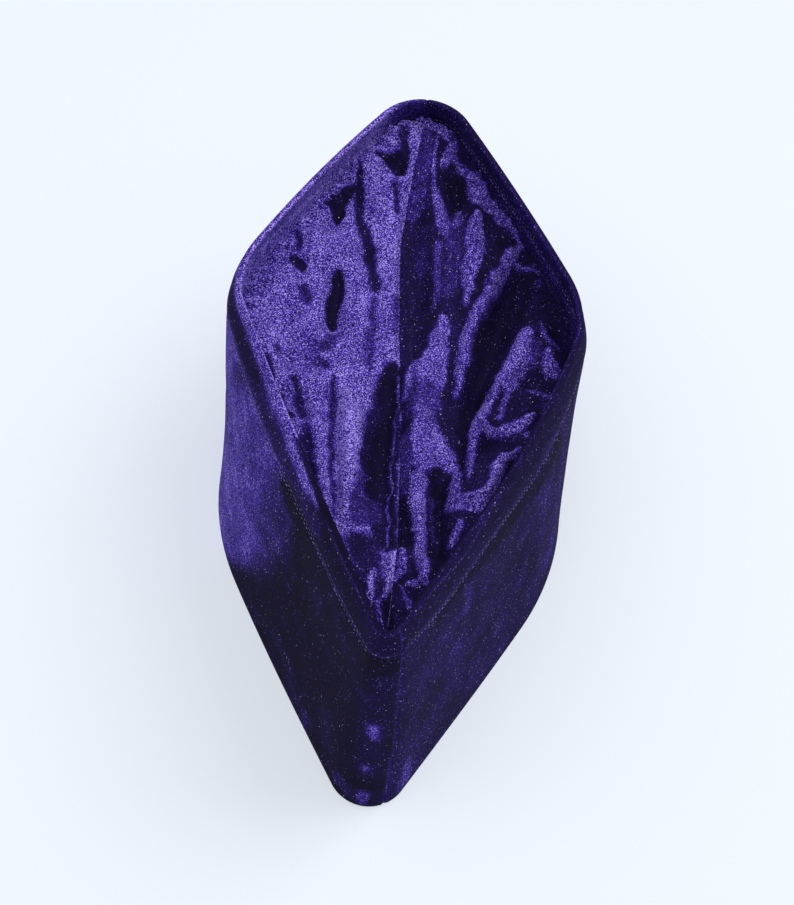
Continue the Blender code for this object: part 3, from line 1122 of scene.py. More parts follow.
@dataclass
class Bench:
    """A material that is being put together.

    Attributes:
        material: The material.
        shader: Its Principled shader.
    """

    material: bpy.types.Material
    shader: bpy.types.Node = field(init=False)

    def __post_init__(self) -> None:
        """Finds the material's shader."""
        self.material.use_nodes = True
        self.shader = self.material.node_tree.nodes["Principled BSDF"]

    @classmethod
    def named(cls, name: str) -> Bench:
        """Starts a new material."""
        return cls(bpy.data.materials.new(name))

    def node(
        self, kind: str, settings: dict[str, object], inputs: dict[object, object]
    ) -> bpy.types.Node:
        """Adds a node.

        Args:
            kind: The node's type.
            settings: Its properties.
            inputs: What goes into its sockets: a value wrapper, a socket or a constant.

        Returns:
            The new node.
        """
        made = self.material.node_tree.nodes.new(kind)
        for name, value in settings.items():
            setattr(made, name, value)
        for name, value in inputs.items():
            self.feed(made.inputs[name], value)
        return made

    def feed(self, socket: bpy.types.NodeSocket, value: object) -> None:
        """Links a socket to a value, or sets its constant.

        Args:
            socket: The socket.
            value: A value wrapper, a socket or a constant.
        """
        if isinstance(value, Value):
            value = value.socket
        if isinstance(value, bpy.types.NodeSocket):
            self.material.node_tree.links.new(value, socket)
        else:
            socket.default_value = value

    def place(self) -> bpy.types.NodeSocket:
        """Where the surface is, in the cap's own frame."""
        return self.node("ShaderNodeTexCoord", {}, {}).outputs["Object"]

    def nap_and_light(self) -> Value:
        """The tone of nap and painted light and shade painted into the mesh."""
        settings = {"attribute_name": NAP_AND_LIGHT, "attribute_type": "GEOMETRY"}
        return Value(self, self.node("ShaderNodeAttribute", settings, {}).outputs["Fac"])

    def speckle(self, size: float, detail: float = 2.0, roughness: float = 0.6) -> Value:
        """Noise about 0.5.

        Args:
            size: Size of its lumps, in metres.
            detail: How many finer layers it has.
            roughness: How strong those are.

        Returns:
            The noise.
        """
        inputs = {"Scale": 1 / size, "Detail": detail, "Roughness": roughness}
        inputs["Vector"] = self.place()
        return Value(self, self.node("ShaderNodeTexNoise", {}, inputs).outputs["Fac"])

    def blend(self, factor: Value, low: object, high: object) -> bpy.types.NodeSocket:
        """Mixes two colours.

        Args:
            factor: How much of the second colour there is.
            low: The first colour, as a socket or a constant.
            high: The second colour.

        Returns:
            The socket of the mixed colour.
        """
        made = self.node("ShaderNodeMix", {"data_type": "RGBA"}, {})
        sockets = {socket.identifier: socket for socket in made.inputs}
        for name, value in (("Factor_Float", factor), ("A_Color", low), ("B_Color", high)):
            self.feed(sockets[name], value)
        return next(socket for socket in made.outputs if socket.identifier == "Result_Color")

    def raise_surface(self, height: Value, distance: float, strength: float) -> None:
        """Gives the surface a fine relief.

        Args:
            height: Its height, from 0 to about 1.
            distance: What a height of 1 is, in metres.
            strength: How much of the relief shows.
        """
        inputs = {"Height": height, "Distance": distance, "Strength": strength}
        bump = self.node("ShaderNodeBump", {}, inputs)
        self.feed(self.shader.inputs["Normal"], bump.outputs["Normal"])

    def set(self, **values: object) -> None:
        """Sets the shader's sockets.

        Args:
            values: What goes into each socket, by its name in lower case with underscores.
        """
        sockets = {socket.name.lower().replace(" ", "_"): socket for socket in self.shader.inputs}
        for name, value in values.items():
            self.feed(sockets[name], value)


Colour = tuple[float, float, float, float]


@dataclass(frozen=True)
class Flecks:
    """One size of glitter, its sparkle painted in as a bright glint colour: its spacing, a grain's
    radius, and the share of spots that hold one.
    """

    spacing: float
    radius: float
    dark_share: float
    bright_share: float
    glint: Colour


@dataclass(frozen=True)
class Speckle:
    """A layer of the velvet's unevenness.

    Its strength grows with the painted tone of nap, light and shade, and a share of it is there
    on black nap too. The size of its lumps is in metres.
    """

    strength: float
    size: float
    detail: float
    roughness: float
    always: float

    def on(self, bench: Bench) -> Value:
        """The layer in a material, about nothing."""
        return self.strength * (bench.speckle(self.size, self.detail, self.roughness) - 0.5)


@dataclass(frozen=True)
class GlitterVelvet:
    """Violet velvet, its tone of nap and painted light and shade dark in places and bright in
    others, sown with fine glitter whose sparkle is painted in.
    """

    name: str
    dark: Colour = (0.0074, 0.0057, 0.0190, 1.0)
    middle: Colour = (0.0190, 0.0104, 0.0900, 1.0)
    bright: Colour = (0.0820, 0.0420, 0.4500, 1.0)
    pale: Colour = (0.5000, 0.3700, 1.0000, 1.0)
    # the painted tones of nap, light and shade over which each colour takes over from the one
    # before
    to_middle: tuple[float, float] = (0.0, 0.5)
    to_bright: tuple[float, float] = (0.40, 1.0)
    to_pale: tuple[float, float] = (0.84, 1.46)
    clouds: Speckle = Speckle(0.45, 0.0075, 3.0, 0.6, 0.30)
    crumb: Speckle = Speckle(0.50, 0.0014, 2.0, 0.7, 0.20)
    grit: Speckle = Speckle(2.40, 0.00046, 0.0, 0.6, 0.07)
    # glitter, its sparkle painted in as bright glint colours on random grains
    large: Flecks = Flecks(0.00084, 0.00020, 0.030, 0.40, (0.68, 0.62, 1.00, 1.0))
    small: Flecks = Flecks(0.00052, 0.00019, 0.030, 0.45, (0.22, 0.15, 0.80, 1.0))
    fleck_tones: tuple[float, float] = (0.1, 0.85)
    faintest: float = 0.30
    fleck_roughness: float = 0.45
    fleck_height: float = 0.6
    # surface
    roughness: float = 0.80
    sheen: float = 0.012
    sheen_roughness: float = 0.40
    sheen_tint: Colour = (0.35, 0.25, 1.0, 1.0)
    specular: float = 0.02
    pile_size: float = 0.00060
    pile_detail: float = 1.0
    pile_height: float = 0.00025
    pile_strength: float = 0.8

    def made(self) -> bpy.types.Material:
        """Puts the material together.

        Returns:
            The material.
        """
        bench = Bench.named(self.name)
        layers = (self.clouds, self.crumb, self.grit)
        clouds, crumb, grit = (layer.on(bench) for layer in layers)
        tone = bench.nap_and_light() * (1 + clouds + crumb + grit)
        for layer, value in zip(layers, (clouds, crumb, grit)):
            tone = tone + value * layer.always
        colour = bench.blend(tone.span(*self.to_middle), self.dark, self.middle)
        colour = bench.blend(tone.span(*self.to_bright), colour, self.bright)
        colour = bench.blend(tone.span(*self.to_pale), colour, self.pale)
        small, large = (self.glitter_glints(bench, fleck, tone) for fleck in (self.small, self.large))
        colour = bench.blend(small, colour, self.small.glint)
        colour = bench.blend(large, colour, self.large.glint)
        grains = (small + large).held()
        pile = bench.speckle(self.pile_size, self.pile_detail)
        bench.set(
            base_color=colour,
            roughness=self.roughness - grains * (self.roughness - self.fleck_roughness),
            sheen_weight=self.sheen,
            sheen_roughness=self.sheen_roughness,
            sheen_tint=self.sheen_tint,
            specular_ior_level=self.specular,
        )
        height = pile + grains * self.fleck_height
        bench.raise_surface(height, self.pile_height, self.pile_strength)
        return bench.material

    def glitter_glints(self, bench: Bench, fleck: Flecks, tone: Value) -> Value:
        """Sows grains of one size, their sparkle painted in as glint colour.

        Args:
            bench: The material.
            fleck: The grains.
            tone: The painted tone of nap, light and shade, which holds more grains where it is
                bright.

        Returns:
            Where the grains lie, and how strongly each one shows.
        """
        inputs = {"Vector": bench.place(), "Scale": 1 / fleck.spacing, "Randomness": 1.0}
        cells = bench.node("ShaderNodeTexVoronoi", {"feature": "F1"}, inputs)
        parts = bench.node("ShaderNodeSeparateColor", {}, {"Color": cells.outputs["Color"]})
        near = Value(bench, cells.outputs["Distance"]).under(fleck.radius / fleck.spacing)
        share = tone.span(*self.fleck_tones, fleck.dark_share, fleck.bright_share)
        held = Value(bench, parts.outputs["Red"]).under(share)
        shine = (1 - self.faintest) * Value(bench, parts.outputs["Green"]) ** 2
        return near * held * (self.faintest + shine)


@dataclass(frozen=True)
class Thread:
    """Matt sewing thread, which shows in places and sinks into the pile in others."""

    name: str
    dark: Colour = (0.0100, 0.0080, 0.0300, 1.0)
    light: Colour = (0.3000, 0.2500, 0.5600, 1.0)
    patches: float = 0.0030
    patch_detail: float = 2.0
    patch_roughness: float = 0.7
    patch_edge: tuple[float, float] = (0.38, 0.62)
    roughness: float = 0.6

    def made(self) -> bpy.types.Material:
        """Puts the material together.

        Returns:
            The material.
        """
        bench = Bench.named(self.name)
        patches = bench.speckle(self.patches, self.patch_detail, self.patch_roughness)
        shown = patches.span(*self.patch_edge)
        bench.set(base_color=bench.blend(shown, self.dark, self.light), roughness=self.roughness)
        return bench.material


@dataclass(frozen=True)
class PaleTable:
    """A plain pale table top, which glows a little so that shadows on it stay weak."""

    name: str = "pale_table"
    colour: Colour = (0.47, 0.50, 0.54, 1.0)
    glow: float = 0.90
    roughness: float = 0.75
    specular: float = 0.1

    def made(self) -> bpy.types.Material:
        """Puts the material together.

        Returns:
            The material.
        """
        bench = Bench.named(self.name)
        bench.set(
            base_color=self.colour,
            roughness=self.roughness,
            specular_ior_level=self.specular,
            emission_color=self.colour,
            emission_strength=self.glow,
        )
        return bench.material


@dataclass(frozen=True)
class Lamp:
    """A square soft light that is turned towards the cap."""

    name: str
    place: tuple[float, float, float]
    size: float
    power: float
    colour: tuple[float, float, float] = (1.0, 1.0, 1.0)

    def hang(self, target: Vector) -> None:
        """Adds the light to the scene.

        Args:
            target: The point that it shines at.
        """
        light = bpy.data.lights.new(self.name, "AREA")
        light.shape, light.size = "SQUARE", self.size
        light.energy, light.color = self.power, self.colour
        lamp = bpy.data.objects.new(self.name, light)
        spot = Vector(self.place)
        turn = (target - spot).to_track_quat("-Z", "Y").to_matrix().to_4x4()
        lamp.matrix_world = Matrix.Translation(spot) @ turn
        bpy.context.scene.collection.objects.link(lamp)


@dataclass(frozen=True)
class Studio:
    """A pale table in soft light, and the camera at the photograph's angle.

    Angles are in degrees, the lens and the sensor in millimetres, all else in metres.
    """

    lamps: tuple[Lamp, ...] = (
        Lamp("key_light", (0.75, 0.30, 1.50), 1.00, 11.0),
        Lamp("fill_light", (-0.50, -0.45, 1.50), 1.40, 8.0),
    )
    lit_point: tuple[float, float, float] = (0.0, 0.0, 0.05)
    world: Colour = (0.96, 0.98, 1.0, 1.0)
    world_strength: float = 0.50
    table_size: float = 8.0
    elevation: float = 52.45
    azimuth: float = -1.87
    roll: float = 6.75
    distance: float = 0.52623
    target: tuple[float, float, float] = (0.00026, -0.01523, 0.050)
    lens: float = 59.67
    sensor_width: float = 36.0
    clip_start: float = 0.01

    def light(self) -> None:
        """Sets the world and hangs the lamps."""
        for lamp in self.lamps:
            lamp.hang(Vector(self.lit_point))
        world = bpy.data.worlds.new("soft_light")
        world.use_nodes = True
        background = world.node_tree.nodes["Background"]
        background.inputs["Color"].default_value = self.world
        background.inputs["Strength"].default_value = self.world_strength
        bpy.context.scene.world = world

    def table(self) -> None:
        """Lays the table top."""
        mesh = bpy.data.meshes.new("table_top")
        with reshaped(mesh) as shape:
            bmesh.ops.create_grid(shape, x_segments=1, y_segments=1, size=self.table_size / 2)
        mesh.materials.append(PaleTable().made())
        table = bpy.data.objects.new("table_top", mesh)
        bpy.context.scene.collection.objects.link(table)
        table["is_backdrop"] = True

    def camera(self) -> None:
        """Sets up the camera."""
        angles = self.elevation, self.azimuth, self.roll
        high, round_z, roll = (math.radians(angle) for angle in angles)
        level, away = math.cos(high), math.sin(high)
        back = Vector((math.sin(round_z) * level, -math.cos(round_z) * level, away))
        right = (-back).cross(Vector((0, 0, 1))).normalized()
        up = right.cross(-back)
        across = right * math.cos(roll) + up * math.sin(roll)
        upward = up * math.cos(roll) - right * math.sin(roll)
        turn = Matrix((across, upward, back)).transposed().to_4x4()
        camera = bpy.data.cameras.new("camera")
        camera.lens, camera.sensor_width = self.lens, self.sensor_width
        camera.clip_start = self.clip_start
        viewer = bpy.data.objects.new("camera", camera)
        viewer.matrix_world = Matrix.Translation(Vector(self.target) + back * self.distance) @ turn
        bpy.context.scene.collection.objects.link(viewer)
        bpy.context.scene.camera = viewer


# The solids' folds: (start, end, height, half width), places as (across, along), in mm.
FOLDS: tuple[Fold, ...] = (
    Fold((3, 97), (10, 36), 2.5, 4.8),
    Fold((20, 71), (20, 37), 3.5, 4.8),
    Fold((35, 62), (28.5, 45), 4, 4.8),
    Fold((28.5, 45), (20.5, -1), 4, 4.8),
    Fold((42.5, 25.5), (31.5, 0), 4.5, 4.8),
    Fold((31.5, 0), (24.5, -25.5), 4.5, 4.8),
    Fold((24.5, -25.5), (24, -41.5), 4, 4.8),
    Fold((27, -21), (45.5, -16), 4, 4.8),
    Fold((40, -32), (32.5, -38.5), 4.5, 4.8),
    Fold((32.5, -38.5), (29, -54), 4.5, 4.8),
    Fold((29, -54), (18.5, -51.5), 4, 4.8),
    Fold((49, 23), (53.5, 7.5), 3, 4.8),
    Fold((8.5, 16), (4.5, -17.5), 3.5, 5),
    Fold((4.5, -17.5), (10.5, -88.5), 3.5, 4.5),
    Fold((20, -62), (18.5, -73), 3, 4.8),
    Fold((-1, 72), (3, 13), -3.5, 4.5),
    Fold((13.5, 84), (14.5, 73.5), -3.5, 4.2),
    Fold((34, 44), (28, -7), -6, 6),
    Fold((25, -5), (19, -38), -4, 4),
    Fold((14.5, -46), (14, -77), -4.5, 3.8),
    Fold((42.5, 3.5), (50, 5), -3, 4),
    Fold((38.5, -10.5), (46, -10.5), -3.5, 4),
    Fold((35, -30), (27, -35.5), -4, 4.5),
    Fold((-23, 82.5), (-16.5, 54), -2.5, 3.8),
    Fold((-16.5, 54), (-11, 20.5), -2.5, 3.8),
    Fold((-27, 42), (-26, 20.5), -4, 4),
    Fold((-27, 76), (-30.5, 64.5), -4, 4.2),
    Fold((-8.5, 91.5), (-13.5, 84.5), -4, 4.2),
    Fold((-23.5, -9), (-18, -68), -3, 3.8),
    Fold((-5, -3), (-6.5, -54.5), -5, 5.5),
    Fold((-35.5, -14), (-29, -46.5), -3.5, 4),
    Fold((-16, -21), (-13.5, -59), 3.5, 6),
    Fold((-34.5, 55.5), (-33.5, 17), 2.5, 7),
    Fold((-5.5, -87.5), (-6.5, -102), 2.5, 3.5),
    Fold((2.5, -76.5), (-0.5, -96.5), 3, 3.5),
)
# (along, up, depth, length, height): the depth in metres, all else by share of the wall.
LEFT_DENTS: tuple[Dent, ...] = (
    Dent(0.17, 0.50, 0.0014, 0.07, 0.35),
    Dent(0.33, 0.62, -0.0010, 0.06, 0.30),
    Dent(0.72, 0.45, 0.0012, 0.08, 0.35),
)
RIGHT_DENTS: tuple[Dent, ...] = (
    Dent(0.12, 0.55, 0.0012, 0.05, 0.30),
    Dent(0.27, 0.50, 0.0013, 0.05, 0.40),
    Dent(0.68, 0.55, 0.0012, 0.09, 0.35),
)
# The strokes of nap and painted light and shade: (tone, rise, edge, path). Bright strokes on
# ridges and rims are partly painted highlights, and dark strokes in creases and under the
# stitching partly painted shade. On the crown a path is a line of (across, along, half width),
# in mm.
RIGHT_CROWN_NAP_AND_LIGHT: tuple[NapAndLight, ...] = (
    NapAndLight(0.42, 0, 1.2, ((-1.5, 104, 4.5), (-1.5, 91, 4.9), (-2, 74.5, 4.4))),
    NapAndLight(0.15, -0.5, 0.7, ((-2.5, 81, 0.6), (4, 81.5, 0.6))),
    NapAndLight(0.50, 0.3, 1, ((-3.5, 77.5, 2.4), (0.5, 79, 2))),
    NapAndLight(0.36, 0.8, 1.2, ((2.5, 64.5, 1.6), (3.5, 48.5, 1.9))),
    NapAndLight(0.40, 0.5, 1.5, ((15, 68, 3.2), (15, 56, 3.5), (13.5, 39, 3.1))),
    NapAndLight(0.67, 1.2, 0.8, ((15, 73.5, 1.2), (15, 65.5, 1.2))),
    NapAndLight(0.67, 1, 0.6, ((4.5, 100, 0.7), (4.5, 89, 0.8), (5.5, 81, 0.9))),
    NapAndLight(0.71, 2, 0.8, ((6.5, 78.5, 2), (8, 74, 2.6), (10, 66, 3), (11, 62.5, 1.8))),
    NapAndLight(0.51, 1, 0.9, ((9.5, 57.5, 1.6), (8.5, 48.5, 1.6), (9.5, 40.5, 1.2), (9, 31.5, 1.1))),
    NapAndLight(0.71, 1.5, 0.8, ((0, 106.5, 1.2), (5, 104.5, 2.5), (8.5, 101.5, 1.6))),
    NapAndLight(0.73, 2, 0.7, ((11, 99.5, 2), (10.5, 95.5, 2.4), (8.5, 89.5, 1.6))),
    NapAndLight(0.69, 1.5, 0.8, (
        (12.5, 94.5, 1.2), (16, 88.5, 1.6), (20, 83.5, 2.8), (23, 78.5, 3.6), (27, 73.5, 3.2),
    )),
    NapAndLight(0.68, 1.5, 0.7, ((29, 74.5, 2.4), (32.5, 67, 2.4), (35.5, 63.5, 1.2), (38.5, 60.5, 1.2))),
    NapAndLight(0.04, -2.6, 0.8, ((11, 86.5, 1.6), (13.5, 83.5, 3.6), (15.5, 78, 2.4))),
    NapAndLight(0.12, -0.8, 0.8, ((8.5, 87.5, 1.2), (8.5, 83, 1.2))),
    NapAndLight(0.77, 3.2, 0.7, (
        (22.5, 68, 2), (22, 62.5, 3.5), (22.5, 56.5, 3.9), (21, 48.5, 3.1), (20, 41.5, 2.3),
        (20.5, 34, 1.7),
    )),
    NapAndLight(0.77, 3.6, 0.7, (
        (39, 60.5, 1.2), (35, 54, 2.3), (32.5, 48, 2.3), (30.5, 42, 2.3), (27.5, 36, 2.3),
        (24.5, 29, 2.7), (21.5, 20, 3.2), (20, 8.5, 2.6), (18.5, -2, 1.5), (17.5, -7, 0.9),
    )),
    NapAndLight(0.67, 1.5, 0.6, ((35.5, 51.5, 1.2), (40, 50, 0.9), (45, 48.5, 0.7))),
    NapAndLight(0.50, 0.8, 0.9, ((45.5, 45.5, 1.4), (45.5, 45, 1.4))),
    NapAndLight(0.50, 0.8, 0.7, ((26, 42, 0.7), (25.5, 34.5, 0.7))),
    NapAndLight(0.03, -2.2, 0.8, ((31, 59, 2.4), (28, 50.5, 2.3), (24, 41.5, 1.7), (22.5, 34.5, 1))),
    NapAndLight(0.03, -4.5, 2, (
        (39.5, 44, 4.6), (35, 33, 6.8), (29, 19, 6), (26, -1, 3.3), (21.5, -19.5, 1.8),
        (21.5, -38.5, 1.4),
    )),
    NapAndLight(0.45, 0.6, 1.5, ((45.5, 19, 1.9), (44, 9.5, 1.9))),
    NapAndLight(0.78, 3.8, 0.7, (
        (42, 22.5, 2.3), (40.5, 16, 3.2), (39.5, 10.5, 3.7), (37, 4.5, 3.4), (32, -3, 2.8),
        (29.5, -6.5, 2.6), (27, -17.5, 2.6), (25.5, -26, 2.4), (24.5, -30.5, 1.6), (24, -35.5, 1.3),
        (23.5, -46, 0.9),
    )),
    NapAndLight(0.71, 1.8, 0.6, ((39, 3.5, 1.9), (36, -5, 1.2), (34.5, -11, 1), (32.5, -20, 0.9))),
    NapAndLight(0.10, -1.2, 0.7, ((34, -5, 0.8), (31, -15, 0.9))),
    NapAndLight(0.60, 1.4, 0.8, ((47, 28.5, 0.5), (48, 22.5, 1.1), (51.5, 19, 1.9), (53.5, 16, 0.9))),
    NapAndLight(0.77, 2, 0.7, ((49, 15, 1.1), (49.5, 10.5, 2.1), (52, 7, 1.5))),
    NapAndLight(0.69, 1.8, 0.7, ((43.5, -1.5, 0.7), (47, -4.5, 1.2), (50.5, -5, 1.1))),
    NapAndLight(0.50, 0.6, 1, ((48.5, -8, 1.1), (50, -12, 0.7))),
    NapAndLight(0.78, 3, 0.7, (
        (27.5, -26.5, 1.8), (31.5, -25, 1.5), (35, -23.5, 1.7), (40, -21, 1.8), (43, -18, 1.8),
        (45, -16.5, 0.9),
    )),
    NapAndLight(0.60, 1, 0.8, ((42, -24.5, 1.5), (44, -28.5, 0.9))),
    NapAndLight(0.50, 0.6, 0.7, ((48.5, -17.5, 0.6), (45.5, -20, 0.7))),
    NapAndLight(0.69, 1.4, 0.7, ((38.5, -34, 0.9), (40, -38, 0.9))),
    NapAndLight(0.78, 3.4, 0.7, (
        (39, -35, 1.4), (35, -40, 1.4), (32, -44, 1.8), (31.5, -50, 2.1), (29.5, -55.5, 2.8),
        (27, -58.5, 3),
    )),
    NapAndLight(0.75, 2.8, 0.8, ((17, -55, 1.8), (20, -55.5, 3.2), (24, -58, 3), (28, -59, 2.5))),
    NapAndLight(0.75, 2.4, 0.9, ((16, -30.5, 2.5), (18, -35, 2.5), (19, -44, 2), (18.5, -51.5, 2.5))),
    NapAndLight(0.71, 1.8, 0.7, ((20.5, -65, 1.1), (20, -70, 1.4), (19, -74.5, 1.3))),
    NapAndLight(0.77, 2.8, 0.8, (
        (12.5, 27, 1.9), (11.5, 19, 3.4), (11, 12.5, 4.1), (9.5, 5.5, 5.2), (9, -0.5, 5.6),
    )),
    NapAndLight(0.61, 1.4, 0.7, ((4, 7, 1), (2, 2, 1.3), (0.5, -9.5, 1.3))),
    NapAndLight(0.28, -0.6, 1, ((3.5, -3, 1.1), (3, -14.5, 1.8), (2, -19, 1.5))),
    NapAndLight(0.51, 1, 1.6, ((9, -6.5, 4.4), (8.5, -14.5, 4.8))),
    NapAndLight(0.75, 3, 1, ((8.5, -20, 4.8), (9.5, -27, 6.2), (10.5, -36.5, 6.5))),
    NapAndLight(0.77, 3, 0.7, (
        (7, -45.5, 3.6), (7, -55, 3), (8, -63.5, 2.3), (9, -74.5, 2.1), (10, -85, 2.1),
        (10.5, -89.5, 1.7),
    )),
    NapAndLight(0.46, 0.6, 1.2, ((12, -52, 1.3), (13.5, -69, 1.4))),
    NapAndLight(0.50, 0.4, 1, ((1, -25.5, 1.5), (2, -31.5, 1.8), (2.5, -43.5, 2), (3, -50, 1.4))),
    NapAndLight(0.14, -1, 0.8, ((15.5, -1, 1.1), (15.5, -12, 1.1), (16, -23.5, 1.1))),
    NapAndLight(0.04, -3.4, 0.7, (
        (14.5, -42.5, 3.8), (14.5, -48, 2.5), (14.5, -59, 1.8), (15.5, -72, 1.7), (15.5, -87, 1.4),
    )),
    NapAndLight(0.04, -2.4, 0.8, ((2.5, -56, 1.1), (4, -65.5, 2.3), (4, -74.5, 1.4))),
    NapAndLight(0.73, 1.6, 0.6, ((6, -90.5, 0.9), (8.5, -91, 1.4), (12, -91, 0.8))),
    NapAndLight(0.08, -0.8, 0.6, ((6.5, -94, 1), (7, -96, 1))),
    NapAndLight(0.63, 1, 0.6, ((4, -92, 0.6), (6, -97, 0.7), (6.5, -101, 1))),
    NapAndLight(0.58, 1, 0.7, ((14.5, -91, 1), (16, -89, 1.2))),
    NapAndLight(0.50, 0.6, 0.6, ((5, -103.5, 0.3), (5.5, -111.5, 0.3))),
    NapAndLight(0.79, 2, 0.6, ((3, -76.5, 1.2), (3.5, -80.5, 1.7), (3, -85.5, 1.5), (1.5, -90, 0.8))),
)
